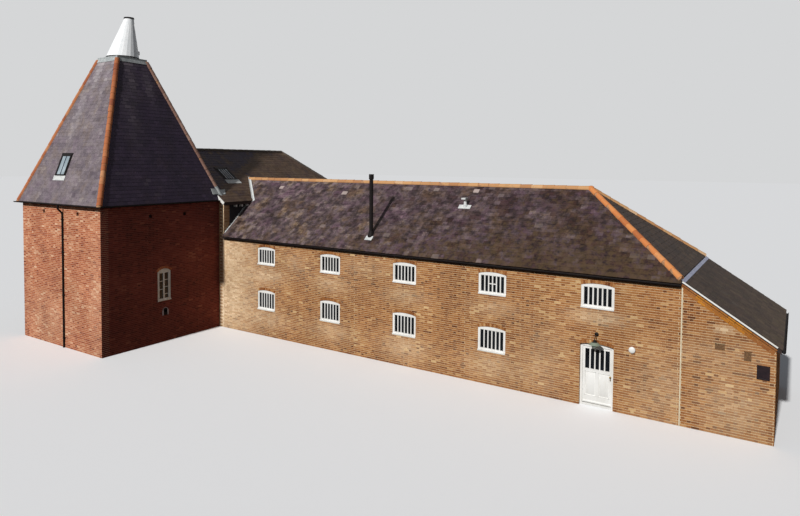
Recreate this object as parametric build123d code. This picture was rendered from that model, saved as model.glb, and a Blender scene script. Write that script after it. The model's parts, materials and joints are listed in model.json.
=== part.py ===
from build123d import *
import os
from math import cos, radians, tan

# Oast house: a long two-storey range, a lean-to, a cross wing and a square kiln with a turning cowl.
# Millimetres, +Z up. Sizes are set out from the corner where the range meets the wing, at ground
# level, and every piece is then moved so that the whole stands with the middle of its base at 0, 0, 0.

# brickwork and general joinery
wall = 330
fit = 0.3
pane = 6
frame_depth = 80
frame_setback = 15
frame_member = 80
frame_head = 60
frame_foot = 95
sill_height = 50
sill_nose = 30
arch_rise = 70

# range
range_length = 19750
range_depth = 5580
range_wall_top = 4250
range_pitch = 42
range_roof = 130
range_overhang = 90
range_hip_run = 3500
ground_floor = 60
upper_floor_level = 2500
upper_floor = 200
bays = 5
first_bay = 2740
last_bay = 2450
window_width = 1050
lower_sill = 1165
lower_height = 825
upper_sill = 3190
upper_height = 740

# entrance door, in the last bay
door_width = 1070
door_head = 2000
door_member = 60
door_setback = 95
door_gap = 7
leaf_thickness = 44
leaf_stile = 80
leaf_glass_sill = 1180
leaf_glass_head = 1860
leaf_lower_rail = 230
panel_recess = 14
stop_width = 12
stop_gap = 6
knuckle = 7.7
knuckle_height = 90

# lean-to at the range's far end
lean_width = 2450
lean_pitch = 32.5
lean_roof = 120
lean_overhang = 120
lean_top = 4240

# cross wing behind the kiln
wing_width = 6560
wing_depth = 9300
wing_wall_top = 5900
wing_pitch = 35.5
wing_roof = 130
wing_overhang = 200
wing_verge = 120
wing_ridge_end = 7240
wing_side_bay = 2400
wing_back_bay = 1500

# kiln
kiln_side = 5900
kiln_wall_top = 5940
kiln_roof_top = 12300
kiln_top_half = 735
kiln_roof = 246
kiln_overhang = 170
kiln_window_width = 660
kiln_window_sill = 1780
kiln_window_height = 1260
kiln_window_rise = 130
kiln_window_from_corner = 2880
vent_hole = 150
front_vent_drop = 390
front_vents = (-1190, 1370)
side_vent_drop = 550
side_vents = (-3660, -1940)

# cowl on the kiln
curb_height = 90
curb_bore = 620
cowl_gap = 35
cowl_base = 690
cowl_top = 190
cowl_height = 1930
cowl_lean = 690
cowl_board = 30
cowl_boards = 24
cowl_sill = 690
cowl_lintel = 1680
cowl_heading = 122
cap_rim = 30
cap_height = 45
vane_reach = 1750
vane_depth = 170
vane_board = 40
spindle = 45
spindle_height = 900
bearing_clear = 1
beam_height = 160
beam_width = 180
beam_drop = 420
socket_depth = 70

# rainwater goods, flue and vent
gutter = 52
gutter_wall = 6
pipe = 38
pipe_bend = 90
pipe_drop = 190
ridge_tile = 100
ridge_sink = 40
kiln_pipe_at = 3410
flue = 78
flue_at = (8100, 500)
flue_top = 7130
flue_cap = 100
flue_cap_height = 200
vent_at = (11650, 1850)
vent_pipe = 60
vent_reach = 330
lamp_foot = 2100
lamp_reach = 230
lamp_level = 2380
lamp_plate = 60
lamp_plate_depth = 20
lamp_arm = 12
lamp_stem = 90
shade_radius = 190
shade_neck = 35
shade_height = 110
shade_wall = 6

# rooflights
light_width = 700
light_length = 940
light_frame = 60
light_stand = 45
light_sunk = 120
light_glass_drop = 20
light_cut = 1400
kiln_light_at = -3670
kiln_light_level = 7580
wing_light_at = 1510
wing_light_level = 7160

# levels and lines that follow from the sizes above
half_depth = range_depth / 2
range_drop = range_roof / cos(radians(range_pitch))
range_rise = half_depth * tan(radians(range_pitch))
range_ridge = range_wall_top + range_rise + range_drop
hip_x = range_length - range_hip_run
wing_mid = -wing_width / 2
wing_drop = wing_roof / cos(radians(wing_pitch))
wing_ridge = wing_wall_top + wing_width / 2 * tan(radians(wing_pitch)) + wing_drop
wing_foot = wing_wall_top - wing_overhang * tan(radians(wing_pitch))
wing_eave = wing_depth + wing_overhang * (wing_depth - wing_ridge_end) / (wing_width / 2)
kiln_inset = (wing_width - kiln_side) / 2
kiln_x = -kiln_inset - kiln_side / 2
kiln_y = -kiln_side / 2
kiln_foot_half = kiln_side / 2 + kiln_overhang
kiln_slope = (kiln_roof_top - kiln_wall_top) / (kiln_foot_half - kiln_top_half)
lean_drop = lean_roof / cos(radians(lean_pitch))
lean_x = range_length + lean_width
bay_pitch = (range_length - first_bay - last_bay) / (bays - 1)
door_x = range_length - last_bay
cowl_level = kiln_roof_top + curb_height + cowl_gap

# the middle of the base
left_edge = -wing_width - wing_overhang
right_edge = lean_x + lean_overhang + 2 * gutter
front_edge = -kiln_side - kiln_overhang - 2 * gutter
back_edge = wing_eave
middle = Pos(-(left_edge + right_edge) / 2, -(front_edge + back_edge) / 2, 0)

os.makedirs("parts", exist_ok=True)


def save(name, *solids):
    """Move a piece, or several solids that don't touch, to the model's frame and write it."""
    placed = [middle * one for solid in solids for one in solid.solids()]
    export_step(placed[0] if len(placed) == 1 else Compound(children=placed), f"parts/{name}.step")


def block(x0, x1, y0, y1, z0, z1):
    """A box between two corners."""
    return Pos((x0 + x1) / 2, (y0 + y1) / 2, (z0 + z1) / 2) * Box(x1 - x0, y1 - y0, z1 - z0)


def prism(corners, direction):
    """A flat outline of 3-D corners, carried along a direction."""
    outline = Face(Wire.make_polygon([Vector(*corner) for corner in corners]))
    return Part() + Solid.extrude(outline, Vector(*direction))


def slab(corners, drop):
    """A roof slope: the outline of its upper surface, with plumb-cut edges of the given height."""
    return prism(corners, (0, 0, -drop))


def rod(start, end, radius):
    """A round bar from one point to another."""
    run = Vector(*end) - Vector(*start)
    return Part() + Solid.make_cylinder(radius, run.length, Plane(origin=start, z_dir=run))


def arched(width, height, rise, y0, y1):
    """A block with a segmental head, centred on x = 0 with its sill at z = 0."""
    sides = Polyline((width / 2, height), (width / 2, 0), (-width / 2, 0), (-width / 2, height))
    head = ThreePointArc((-width / 2, height), (0, height + rise), (width / 2, height))
    outline = make_face(Plane.XZ * (sides + head))
    return Pos(0, y0, 0) * extrude(outline, amount=y1 - y0, dir=(0, 1, 0))


def range_surface(y):
    """Height of the range's slates at a distance y behind the front wall's face."""
    return range_ridge - abs(half_depth - y) * tan(radians(range_pitch))


def kiln_half(z):
    """Half width of the kiln roof's outer surface at a level."""
    return kiln_foot_half - (z - kiln_wall_top) / kiln_slope


def square(half, z):
    """A level square about the kiln's centre."""
    return Pos(kiln_x, kiln_y, z) * Rectangle(2 * half, 2 * half)


def kiln_envelope():
    """The solid outer form of the kiln's roof."""
    return loft([square(kiln_foot_half, kiln_wall_top), square(kiln_top_half, kiln_roof_top)], ruled=True)


def wing_envelope():
    """The solid outer form of the wing's right-hand half, over the whole depth of the range."""
    edge = wing_overhang
    foot = wing_foot
    corners = [(wing_mid, 0), (0, 0), (0, wing_wall_top), (edge, foot), (edge, foot + wing_drop)]
    corners.append((wing_mid, wing_ridge))
    return prism([(x, -range_overhang - wall, z) for x, z in corners], (0, range_depth + 4 * wall, 0))


def range_envelope():
    """The solid outer form of the range's hipped roof."""
    reach = range_overhang
    foot = range_surface(-reach)
    profile = [(0, -reach, foot), (0, half_depth, range_ridge), (0, range_depth + reach, foot)]
    bar = prism([(-wing_width / 2, y, z) for _, y, z in profile], (range_length + wing_width / 2, 0, 0))
    rise = range_hip_run + 2 * reach
    top = range_ridge + 2 * reach * range_rise / range_hip_run
    wedge = [(range_length, range_ridge - range_rise), (range_length, top), (range_length - rise, top)]
    return bar - prism([(x, -2 * reach, z) for x, z in wedge], (0, range_depth + 4 * reach, 0))


def window_cut(x, sill, height, y0=-wall, y1=2 * wall):
    """The hole for a range window."""
    return Pos(x, 0, sill) * arched(window_width, height, arch_rise, y0, y1)


def window_frame(width, height, rise):
    """A frame with an arched outside, a straight-headed light and a nosed sill, centred on x = 0."""
    back = frame_setback + frame_depth
    half = width / 2 - frame_member
    whole = arched(width - 2 * fit, height - fit, rise, frame_setback, back)
    light = block(-half, half, frame_setback - 1, back + 1, frame_foot, height - frame_head)
    sill = block(-width / 2 + fit, width / 2 - fit, -sill_nose, frame_setback, 0, sill_height)
    return whole - light + sill


def window_pane(width, height):
    """The sheet of glass that fills a frame's light."""
    half = width / 2 - frame_member - fit
    mid = frame_setback + frame_depth / 2
    return block(-half, half, mid, mid + pane, frame_foot + fit, height - frame_head - fit)


def wall_profile(x0, x1):
    """A long wall of the range whose top follows the underside of the roof."""
    inner = range_wall_top + wall * tan(radians(range_pitch))
    corners = [(x0, 0, 0), (x0, 0, range_wall_top), (x0, wall, inner), (x0, wall, 0)]
    hip = [(range_length, range_wall_top), (range_length, 2 * range_wall_top)]
    hip.append((hip_x, range_wall_top + range_rise))
    over = prism([(x, -1, z) for x, z in hip], (0, wall + 2, 0))
    return prism(corners, (x1 - x0, 0, 0)) - over


def range_walls():
    """The front wall, split at the doorway, with the back and end walls."""
    uppers = [first_bay + i * bay_pitch for i in range(bays)]
    lowers = uppers[:-1]
    left = door_x - door_width / 2
    right = door_x + door_width / 2
    front = wall_profile(0, left)
    for x in lowers:
        front -= window_cut(x, upper_sill, upper_height)
        front -= window_cut(x, lower_sill, lower_height)
    doorway = Pos(door_x, 0, 0) * arched(door_width, door_head, arch_rise, -wall, 2 * wall)
    over = wall_profile(left, right) - doorway - window_cut(door_x, upper_sill, upper_height)
    save("range_front_wall_left", front)
    save("range_front_wall_over_door", over.solids().sort_by(Axis.Z)[-1])
    save("range_front_wall_right", wall_profile(right, range_length))

    back = wall_profile(0, range_length)
    for x in uppers:
        back -= window_cut(x, upper_sill, upper_height)
        back -= window_cut(x, lower_sill, lower_height)
    back = mirror(back, Plane.XZ)
    save("range_back_wall", Pos(0, range_depth, 0) * back)

    end_top = range_wall_top + wall * range_rise / range_hip_run
    near = range_length - wall
    corners = [(near, wall, 0), (near, wall, end_top), (range_length, wall, range_wall_top)]
    corners.append((range_length, wall, 0))
    save("range_end_wall", prism(corners, (0, range_depth - 2 * wall, 0)))


def range_windows():
    """Frames and panes of the range: both storeys, front and back."""
    uppers = [(first_bay + i * bay_pitch, upper_sill, upper_height) for i in range(bays)]
    lowers = [(first_bay + i * bay_pitch, lower_sill, lower_height) for i in range(bays)]
    turn = Pos(0, range_depth, 0) * Rot(0, 0, 180)
    sets = {"front": (uppers + lowers[:-1], Pos(0, 0, 0), 1), "back": (uppers + lowers, turn, -1)}
    for side, (places, move, sign) in sets.items():
        frames = []
        panes = []
        for x, sill, height in places:
            seat = move * Pos(sign * x, 0, sill)
            frames.append(seat * window_frame(window_width, height, arch_rise))
            panes.append(seat * window_pane(window_width, height))
        save(f"{side}_window_frames", *frames)
        save(f"{side}_window_glass", *panes)


def range_floors():
    """The ground floor and the boarded upper floor between the walls."""
    inside = (0, range_length - wall, wall, range_depth - wall)
    save("range_ground_floor", block(*inside, 0, ground_floor))
    save("range_upper_floor", block(*inside, upper_floor_level - upper_floor, upper_floor_level))


def range_roof_slopes():
    """The front and back slopes, which die into the wing's roof, and the hipped end."""
    reach = range_overhang
    foot = range_surface(-reach)
    start = wing_mid
    eaves = range_surface(0)
    wing = wing_envelope()
    for name, edge, near in (("front", -reach, 0), ("back", range_depth + reach, range_depth)):
        corners = [(start, edge, foot), (range_length, edge, foot), (range_length, near, eaves)]
        corners += [(hip_x, half_depth, range_ridge), (start, half_depth, range_ridge)]
        slope = slab(corners, range_drop) - wing
        save(f"range_roof_{name}", slope.solids().sort_by(SortBy.VOLUME)[-1])
    corners = [(range_length, 0, eaves), (range_length, range_depth, eaves)]
    corners.append((hip_x, half_depth, range_ridge))
    save("range_roof_hip", slab(corners, range_drop))


def range_ridge_tiles():
    """Half-round tiles bedded along the ridge and the two hips."""
    peak = (hip_x, half_depth, range_ridge - ridge_sink)
    wing_edge = wing_mid + (wing_ridge - range_ridge) / tan(radians(wing_pitch))
    start = (wing_edge - ridge_tile, half_depth, range_ridge - ridge_sink)
    tiles = rod(start, peak, ridge_tile) + Pos(*peak) * Sphere(ridge_tile)
    for y in (0, range_depth):
        tiles += rod(peak, (range_length, y, range_surface(0) - ridge_sink), ridge_tile)
    tiles -= range_envelope()
    tiles -= wing_envelope()
    tiles -= block(range_length, range_length + wall, -wall, range_depth + wall, 0, range_ridge)
    save("range_ridge_tiles", tiles.solids().sort_by(SortBy.VOLUME)[-1])


def door_frame():
    """The entrance frame with its arched head, rebate stop and threshold."""
    back = door_setback + frame_depth
    inner = door_width - 2 * door_member
    head = door_head - door_member
    whole = arched(door_width - 2 * fit, door_head - fit, arch_rise, door_setback, back)
    whole -= block(-inner / 2, inner / 2, door_setback - 1, back + 1, ground_floor + fit, head)
    face = back - leaf_thickness - stop_gap
    stop = block(-inner / 2, inner / 2, door_setback, face, ground_floor + fit, head)
    stop -= block(-inner / 2 + stop_width, inner / 2 - stop_width, 0, back, 0, head - stop_width)
    save("door_frame", Pos(door_x, 0, 0) * (whole + stop))


def entrance_door():
    """The leaf, glazed above and panelled below, with three hinge knuckles on its inner face."""
    back = door_setback + frame_depth
    front = back - leaf_thickness
    left = door_x - door_width / 2 + door_member + door_gap
    right = door_x + door_width / 2 - door_member - door_gap
    low = ground_floor + 3 * door_gap
    high = door_head - door_member - door_gap
    glass_x = (left + leaf_stile, right - leaf_stile)
    leaf = block(left, right, front, back, low, high)
    leaf -= block(*glass_x, front - 1, back + 1, leaf_glass_sill, leaf_glass_head)
    panel_z = (low + leaf_lower_rail, leaf_glass_sill - leaf_stile)
    middle_x = (left + right) / 2
    for x0, x1 in ((glass_x[0], middle_x - leaf_stile / 2), (middle_x + leaf_stile / 2, glass_x[1])):
        leaf -= block(x0, x1, front - 1, front + panel_recess, *panel_z)
        leaf -= block(x0, x1, back - panel_recess, back + 1, *panel_z)
    pin = (left - door_gap, back + knuckle + fit)
    for z in (low + 2 * knuckle_height, (low + high) / 2, high - 2 * knuckle_height):
        barrel = Pos(*pin, z) * Cylinder(knuckle, knuckle_height)
        plate = block(left - door_gap / 2, left + leaf_stile / 2, back, back + knuckle / 2,
                      z - knuckle_height / 2, z + knuckle_height / 2)
        leaf += barrel + plate
    save("entrance_door", leaf)
    mid = (front + back) / 2
    save("door_glass", block(glass_x[0] + fit, glass_x[1] - fit, mid, mid + pane,
                             leaf_glass_sill + fit, leaf_glass_head - fit))


def lean_to():
    """Front, back and end walls under a single slope that falls away from the range."""
    fall = tan(radians(lean_pitch))
    low = lean_top - lean_width * fall
    side = [(range_length, 0, 0), (range_length, 0, lean_top), (lean_x, 0, low), (lean_x, 0, 0)]
    save("lean_to_front_wall", prism(side, (0, wall, 0)))
    save("lean_to_back_wall", Pos(0, range_depth - wall, 0) * prism(side, (0, wall, 0)))
    near = lean_x - wall
    end = [(near, wall, 0), (near, wall, low + wall * fall), (lean_x, wall, low), (lean_x, wall, 0)]
    save("lean_to_end_wall", prism(end, (0, range_depth - 2 * wall, 0)))
    edge = lean_x + lean_overhang
    foot = low - lean_overhang * fall + lean_drop
    verge = range_overhang / 2
    corners = [(range_length, -verge, lean_top + lean_drop), (edge, -verge, foot)]
    corners.append((edge, range_depth + verge, foot))
    corners.append((range_length, range_depth + verge, lean_top + lean_drop))
    save("lean_to_roof", slab(corners, lean_drop))
    return foot


def wing_window_places(side):
    """Sill middles of a wing wall's windows, facing outwards, each with its window's height."""
    places = []
    for sill, height in ((lower_sill, lower_height), (upper_sill, upper_height)):
        if side == "right":
            spots = [Pos(0, (range_depth + wing_depth) / 2, sill) * Rot(0, 0, 90)]
        elif side == "left":
            ends = (wing_side_bay, wing_depth - wing_side_bay)
            spots = [Pos(-wing_width, y, sill) * Rot(0, 0, -90) for y in ends]
        else:
            ends = (wing_mid - wing_back_bay, wing_mid + wing_back_bay)
            spots = [Pos(x, wing_depth, sill) * Rot(0, 0, 180) for x in ends]
        places += [(spot, height) for spot in spots]
    return places


def with_windows(piece, side):
    """A wing wall with its windows cut through."""
    for place, height in wing_window_places(side):
        piece -= place * arched(window_width, height, arch_rise, -wall, 2 * wall)
    return piece


def wing_windows():
    """Frames and panes of the wing, of the range's pattern."""
    places = [place for side in ("right", "left", "back") for place in wing_window_places(side)]
    frames = [spot * window_frame(window_width, height, arch_rise) for spot, height in places]
    save("wing_window_frames", *frames)
    save("wing_window_glass", *[spot * window_pane(window_width, height) for spot, height in places])


def wing_floor():
    """The boarded upper floor between the wing's walls, level with the range's."""
    inside = (wall - wing_width, -wall, wall, wing_depth - wall)
    save("wing_upper_floor", block(*inside, upper_floor_level - upper_floor, upper_floor_level))


def wing_walls():
    """The wing's four walls: the front one closes the kiln and rises to a gable behind its roof."""
    kiln = kiln_envelope()
    front = [(-wing_width, 0, 0), (-wing_width, 0, wing_wall_top), (wing_mid, 0, wing_ridge - wing_drop)]
    front += [(0, 0, wing_wall_top), (0, 0, 0)]
    save("wing_front_wall", prism(front, (0, wall, 0)) - kiln)
    inner = wing_wall_top + wall * tan(radians(wing_pitch))
    run = wing_depth - 2 * wall
    right = [(0, wall, 0), (0, wall, wing_wall_top), (-wall, wall, inner), (-wall, wall, 0)]
    save("wing_right_wall", with_windows(prism(right, (0, run, 0)), "right"))
    left = [(-wing_width - x, y, z) for x, y, z in right]
    save("wing_left_wall", with_windows(prism(left, (0, run, 0)), "left"))
    back = block(-wing_width, 0, wing_depth - wall, wing_depth, 0, wing_ridge)
    save("wing_back_wall", with_windows(back - wing_above(), "back"))


def wing_above():
    """Everything above the underside of the wing's roof, to trim walls with."""
    far = 4 * wall
    top = wing_ridge + far
    under = wing_ridge - wing_drop
    low = wing_wall_top
    half = wing_width / 2
    fall = tan(radians(wing_pitch))
    hip = (under - low) / (wing_depth - wing_ridge_end)
    cut = Part()
    for side in (1, -1):
        x = wing_mid + side * (half + far)
        corners = [(wing_mid, 0, under), (x, 0, under - (half + far) * fall), (x, 0, top)]
        corners.append((wing_mid, 0, top))
        cut += prism(corners, (0, wing_depth + far, 0))
    end = [(0, wing_ridge_end, under), (0, wing_depth + far, low - far * hip), (0, wing_depth + far, top)]
    end.append((0, wing_ridge_end, top))
    cut += prism([(-wing_width - far, y, z) for _, y, z in end], (wing_width + 2 * far, 0, 0))
    return cut


def wing_roof_slopes():
    """Right and left slopes and the hipped rear end, trimmed where the kiln's roof stands."""
    kiln = kiln_envelope()
    reach = wing_overhang
    start = -wing_width / 4
    foot = wing_foot + wing_drop
    back = wing_eave
    light = rooflight_hole()
    for name, side in (("right", 1), ("left", -1)):
        edge = wing_mid + side * (wing_width / 2 + reach)
        corners = [(wing_mid, start, wing_ridge), (edge, start, foot), (edge, back, foot)]
        corners.append((wing_mid, wing_ridge_end, wing_ridge))
        slope = slab(corners, wing_drop) - kiln
        foot_x = kiln_x + side * kiln_foot_half
        outer = kiln_x + side * wing_width
        beside = [(outer, 0), (kiln_x, 0), (kiln_x, kiln_wall_top), (foot_x, kiln_wall_top)]
        beside += [(kiln_x + side * kiln_top_half, kiln_roof_top), (outer, kiln_roof_top)]
        slope -= prism([(x, start - wall, z) for x, z in beside], (0, wall - start - wing_verge, 0))
        kept = slope.solids().sort_by(Axis.Y)[-1]
        if side > 0:
            kept = kept - place_on_wing(light)
        save(f"wing_roof_{name}", kept)
    corners = [(wing_mid, wing_ridge_end, wing_ridge)]
    corners += [(wing_mid + side * (wing_width / 2 + reach), back, foot) for side in (1, -1)]
    save("wing_roof_hip", slab(corners, wing_drop))


def rooflight_hole():
    """The hole for a rooflight, centred on the slope's surface, with its length along x."""
    return Box(light_length, light_width, light_cut)


def rooflight_frame():
    """A rooflight's frame, standing proud of the slates, its length along x."""
    size = (light_length - 2 * fit, light_width - 2 * fit)
    ring = Box(*size, light_stand + light_sunk)
    ring -= Box(size[0] - 2 * light_frame, size[1] - 2 * light_frame, light_cut)
    return Pos(0, 0, (light_stand - light_sunk) / 2) * ring


def rooflight_pane():
    """The pane inside a rooflight's frame."""
    inner = (light_length - 2 * light_frame - 4 * fit, light_width - 2 * light_frame - 4 * fit)
    return Pos(0, 0, light_stand - light_glass_drop) * Box(*inner, pane)


def place_on_wing(piece):
    """Turn and move a rooflight piece to its place on the wing's right slope."""
    x = wing_mid + (wing_ridge - wing_light_level) / tan(radians(wing_pitch))
    return Pos(x, wing_light_at, wing_light_level) * Rot(0, wing_pitch, 0) * piece


def place_on_kiln(piece):
    """Turn and move a rooflight piece to its place on the kiln's front slope."""
    y = kiln_y - kiln_half(kiln_light_level)
    pitch = Vector(1, 0, 0).get_angle(Vector(1, 0, kiln_slope))
    return Pos(kiln_light_at, y, kiln_light_level) * Rot(0, 0, -90) * Rot(0, pitch, 0) * piece


def rooflights():
    """Frames and panes of the two rooflights."""
    save("rooflight_frames", place_on_kiln(rooflight_frame()), place_on_wing(rooflight_frame()))
    save("rooflight_glass", place_on_kiln(rooflight_pane()), place_on_wing(rooflight_pane()))


def wing_ridge_tiles():
    """Half-round tiles along the wing's ridge and its two rear hips."""
    peak = (wing_mid, wing_ridge_end, wing_ridge - ridge_sink)
    tiles = rod((wing_mid, -wing_width / 4, wing_ridge - ridge_sink), peak, ridge_tile)
    tiles += Pos(*peak) * Sphere(ridge_tile)
    solid = wing_solid()
    back = wing_eave
    for side in (1, -1):
        edge = wing_mid + side * (wing_width / 2 + wing_overhang)
        tiles += rod(peak, (edge, back, wing_foot + wing_drop - ridge_sink), ridge_tile)
    tiles -= solid
    tiles -= kiln_envelope()
    far = 2 * ridge_tile
    edge = wing_mid + wing_width / 2 + wing_overhang
    tiles -= block(edge, edge + far, 0, back + far, 0, wing_ridge)
    left = wing_mid - wing_width / 2 - wing_overhang
    tiles -= block(left - far, left, 0, back + far, 0, wing_ridge)
    tiles -= block(left - far, edge + far, back, back + far, 0, wing_ridge)
    save("wing_ridge_tiles", tiles.solids().sort_by(SortBy.VOLUME)[-1])


def wing_solid():
    """The solid outer form of the wing's roof."""
    far = 4 * wall
    fall = tan(radians(wing_pitch))
    half = wing_width / 2 + wing_overhang
    foot = wing_foot + wing_drop
    bar = [(wing_mid - half, foot), (wing_mid, wing_ridge), (wing_mid + half, foot)]
    solid = prism([(x, -wing_width / 4 - far, z) for x, z in bar], (0, wing_depth + far + wing_width, 0))
    rise = fall * (wing_width / 2) / (wing_depth - wing_ridge_end)
    top = wing_ridge + far
    end = wing_depth + 2 * far + wing_width
    cut = [(wing_ridge_end, wing_ridge), (end, wing_ridge - (end - wing_ridge_end) * rise), (end, top)]
    cut.append((wing_ridge_end - far / rise, top))
    return solid - prism([(wing_mid - 2 * half, y, z) for y, z in cut], (4 * half, 0, 0))


def kiln_walls():
    """Three walls, with small vent holes under the eaves and an arched window in each side."""
    x0 = -kiln_inset - kiln_side
    x1 = -kiln_inset
    hole = vent_hole / 2
    front = block(x0, x1, -kiln_side, -kiln_side + wall, 0, kiln_wall_top)
    low_vent = kiln_wall_top - front_vent_drop
    for x in front_vents:
        front -= block(kiln_x + x - hole, kiln_x + x + hole, -kiln_side - 1, -kiln_side + wall + 1,
                       low_vent, low_vent + vent_hole)
    save("kiln_front_wall", front)
    window = arched(kiln_window_width, kiln_window_height, kiln_window_rise, -wall, 2 * wall)
    for name, face, sign in (("right", x1, 1), ("left", x0, -1)):
        low, high = sorted((face, face - sign * wall))
        side = block(low, high, -kiln_side + wall, 0, 0, kiln_wall_top)
        low_vent = kiln_wall_top - side_vent_drop
        for y in side_vents:
            side -= block(low - 1, high + 1, y - hole, y + hole, low_vent, low_vent + vent_hole)
        side -= kiln_side_place(face, sign) * window
        save(f"kiln_{name}_wall", side)


def kiln_side_place(face, sign):
    """The place of a side window: its sill's middle on the wall's face, facing outwards."""
    return Pos(face, kiln_window_from_corner - kiln_side, kiln_window_sill) * Rot(0, 0, 90 * sign)


def kiln_windows():
    """The arched windows in the kiln's two side walls."""
    frames = []
    panes = []
    for face, sign in ((-kiln_inset, 1), (-kiln_inset - kiln_side, -1)):
        place = kiln_side_place(face, sign)
        frames.append(place * window_frame(kiln_window_width, kiln_window_height, kiln_window_rise))
        panes.append(place * window_pane(kiln_window_width, kiln_window_height))
    save("kiln_window_frames", *frames)
    save("kiln_window_glass", *panes)


def kiln_roof_slopes():
    """Four tapering slopes, mitred at the hips."""
    inner_foot = kiln_foot_half - kiln_roof
    inner_top = kiln_top_half - kiln_roof
    for name, turn in (("front", 0), ("right", 90), ("back", 180), ("left", 270)):
        rings = []
        for outer, inner, z in ((kiln_foot_half, inner_foot, kiln_wall_top),
                                (kiln_top_half, inner_top, kiln_roof_top)):
            corners = ((-outer, -outer), (outer, -outer), (inner, -inner), (-inner, -inner))
            strip = make_face(Polyline(*corners, close=True))
            rings.append(Pos(kiln_x, kiln_y, z) * Rot(0, 0, turn) * strip)
        slope = loft(rings, ruled=True)
        if name == "front":
            slope -= place_on_kiln(rooflight_hole())
        save(f"kiln_roof_{name}", slope)


def kiln_hip_tiles():
    """Half-round tiles bedded along the four hips."""
    solid = kiln_envelope()
    hips = []
    low = kiln_foot_half - ridge_sink
    high = kiln_top_half - ridge_sink
    for x, y in ((1, 1), (1, -1), (-1, 1), (-1, -1)):
        start = (kiln_x + x * low, kiln_y + y * low, kiln_wall_top)
        end = (kiln_x + x * high, kiln_y + y * high, kiln_roof_top)
        tile = rod(start, end, ridge_tile) - solid
        span = 2 * kiln_side
        foot = kiln_wall_top + gutter + fit
        tile -= block(kiln_x - span, kiln_x + span, kiln_y - span, kiln_y + span, 0, foot)
        tile -= block(kiln_x - span, kiln_x + span, kiln_y - span, kiln_y + span, kiln_roof_top, 2 * span)
        tile -= wing_solid()
        hips.append(tile.solids().sort_by(SortBy.VOLUME)[-1])
    save("kiln_hip_tiles", *hips)


def kiln_top():
    """The lead-dressed curb round the roof's mouth, and the beam below it that carries the cowl."""
    curb = block(kiln_x - kiln_top_half, kiln_x + kiln_top_half, kiln_y - kiln_top_half,
                 kiln_y + kiln_top_half, kiln_roof_top, kiln_roof_top + curb_height)
    curb -= Pos(kiln_x, kiln_y, kiln_roof_top) * Cylinder(curb_bore, 4 * curb_height)
    top = kiln_roof_top - beam_drop
    half = kiln_half(top) - kiln_roof
    low_half = kiln_half(top - beam_height) - kiln_roof
    ends = [(kiln_x - half, top), (kiln_x + half, top), (kiln_x + low_half, top - beam_height)]
    ends.append((kiln_x - low_half, top - beam_height))
    beam = prism([(x, kiln_y - beam_width / 2, z) for x, z in ends], (0, beam_width, 0))
    socket = Pos(kiln_x, kiln_y, top - socket_depth / 2) * Cylinder(spindle + bearing_clear, socket_depth)
    save("kiln_top_curb", curb)
    save("cowl_beam", beam - socket)


def cowl_form(inset):
    """The leaning cone of straight boards, shrunk by an inset, its base at z = 0, leaning towards +x."""
    base = RegularPolygon(cowl_base - inset, cowl_boards)
    top = Pos(cowl_lean, 0, cowl_height) * RegularPolygon(cowl_top - inset, cowl_boards)
    return loft([base, top], ruled=True)


def place_cowl(piece):
    """Put a cowl piece over the kiln, turned to its heading."""
    return Pos(kiln_x, kiln_y, cowl_level) * Rot(0, 0, cowl_heading) * piece


def cowl():
    """A boarded cone, open on its lee side, with its cap, finger board and spindle."""
    slope = cowl_lean / cowl_height
    far = 3 * cowl_base
    lee = [(slope * cowl_sill + cowl_top, cowl_sill), (far, cowl_sill), (far, cowl_lintel)]
    lee.append((slope * cowl_lintel, cowl_lintel))
    opening = prism([(x, -far, z) for x, z in lee], (0, 2 * far, 0))
    shell = cowl_form(0) - cowl_form(cowl_board) - opening
    save("cowl_shell", place_cowl(shell))

    cap = Pos(cowl_lean, 0, cowl_height + cap_height / 2) * Cylinder(cowl_top + cap_rim, cap_height)
    save("cowl_cap", place_cowl(cap))

    level = cowl_sill - vane_depth
    start = slope * level + cowl_base - (cowl_base - cowl_top) * level / cowl_height
    tip = [(start - cowl_board, level - vane_depth / 2), (vane_reach, level - vane_depth / 2)]
    tip += [(vane_reach, level + vane_depth / 2), (start - cowl_board, level + vane_depth / 2)]
    board = prism([(x, -vane_board / 2, z) for x, z in tip], (0, vane_board, 0))
    save("cowl_vane", place_cowl(board - cowl_form(-fit)))

    foot = -(cowl_gap + curb_height + beam_drop + socket_depth - fit)
    core = cowl_form(cowl_board + fit)
    pole = rod((0, 0, foot), (0, 0, spindle_height), spindle)
    for level in (2 * spindle, cowl_sill - 4 * spindle):
        for step, turn in enumerate((45, 135)):
            place = Pos(0, 0, level + 2 * step * spindle) * Rot(0, 0, turn)
            pole += core & place * Box(4 * cowl_base, spindle, spindle)
    save("cowl_spindle", place_cowl(pole))


def half_gutter(start, end):
    """A half-round gutter between two points at its rim."""
    run = Vector(*end) - Vector(*start)
    tube = rod(start, end, gutter) - rod(start, end, gutter - gutter_wall)
    cut = Pos(0, 0, gutter) * Box(4 * run.length, 4 * run.length, 2 * gutter)
    return tube - Pos(*start) * cut


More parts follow.
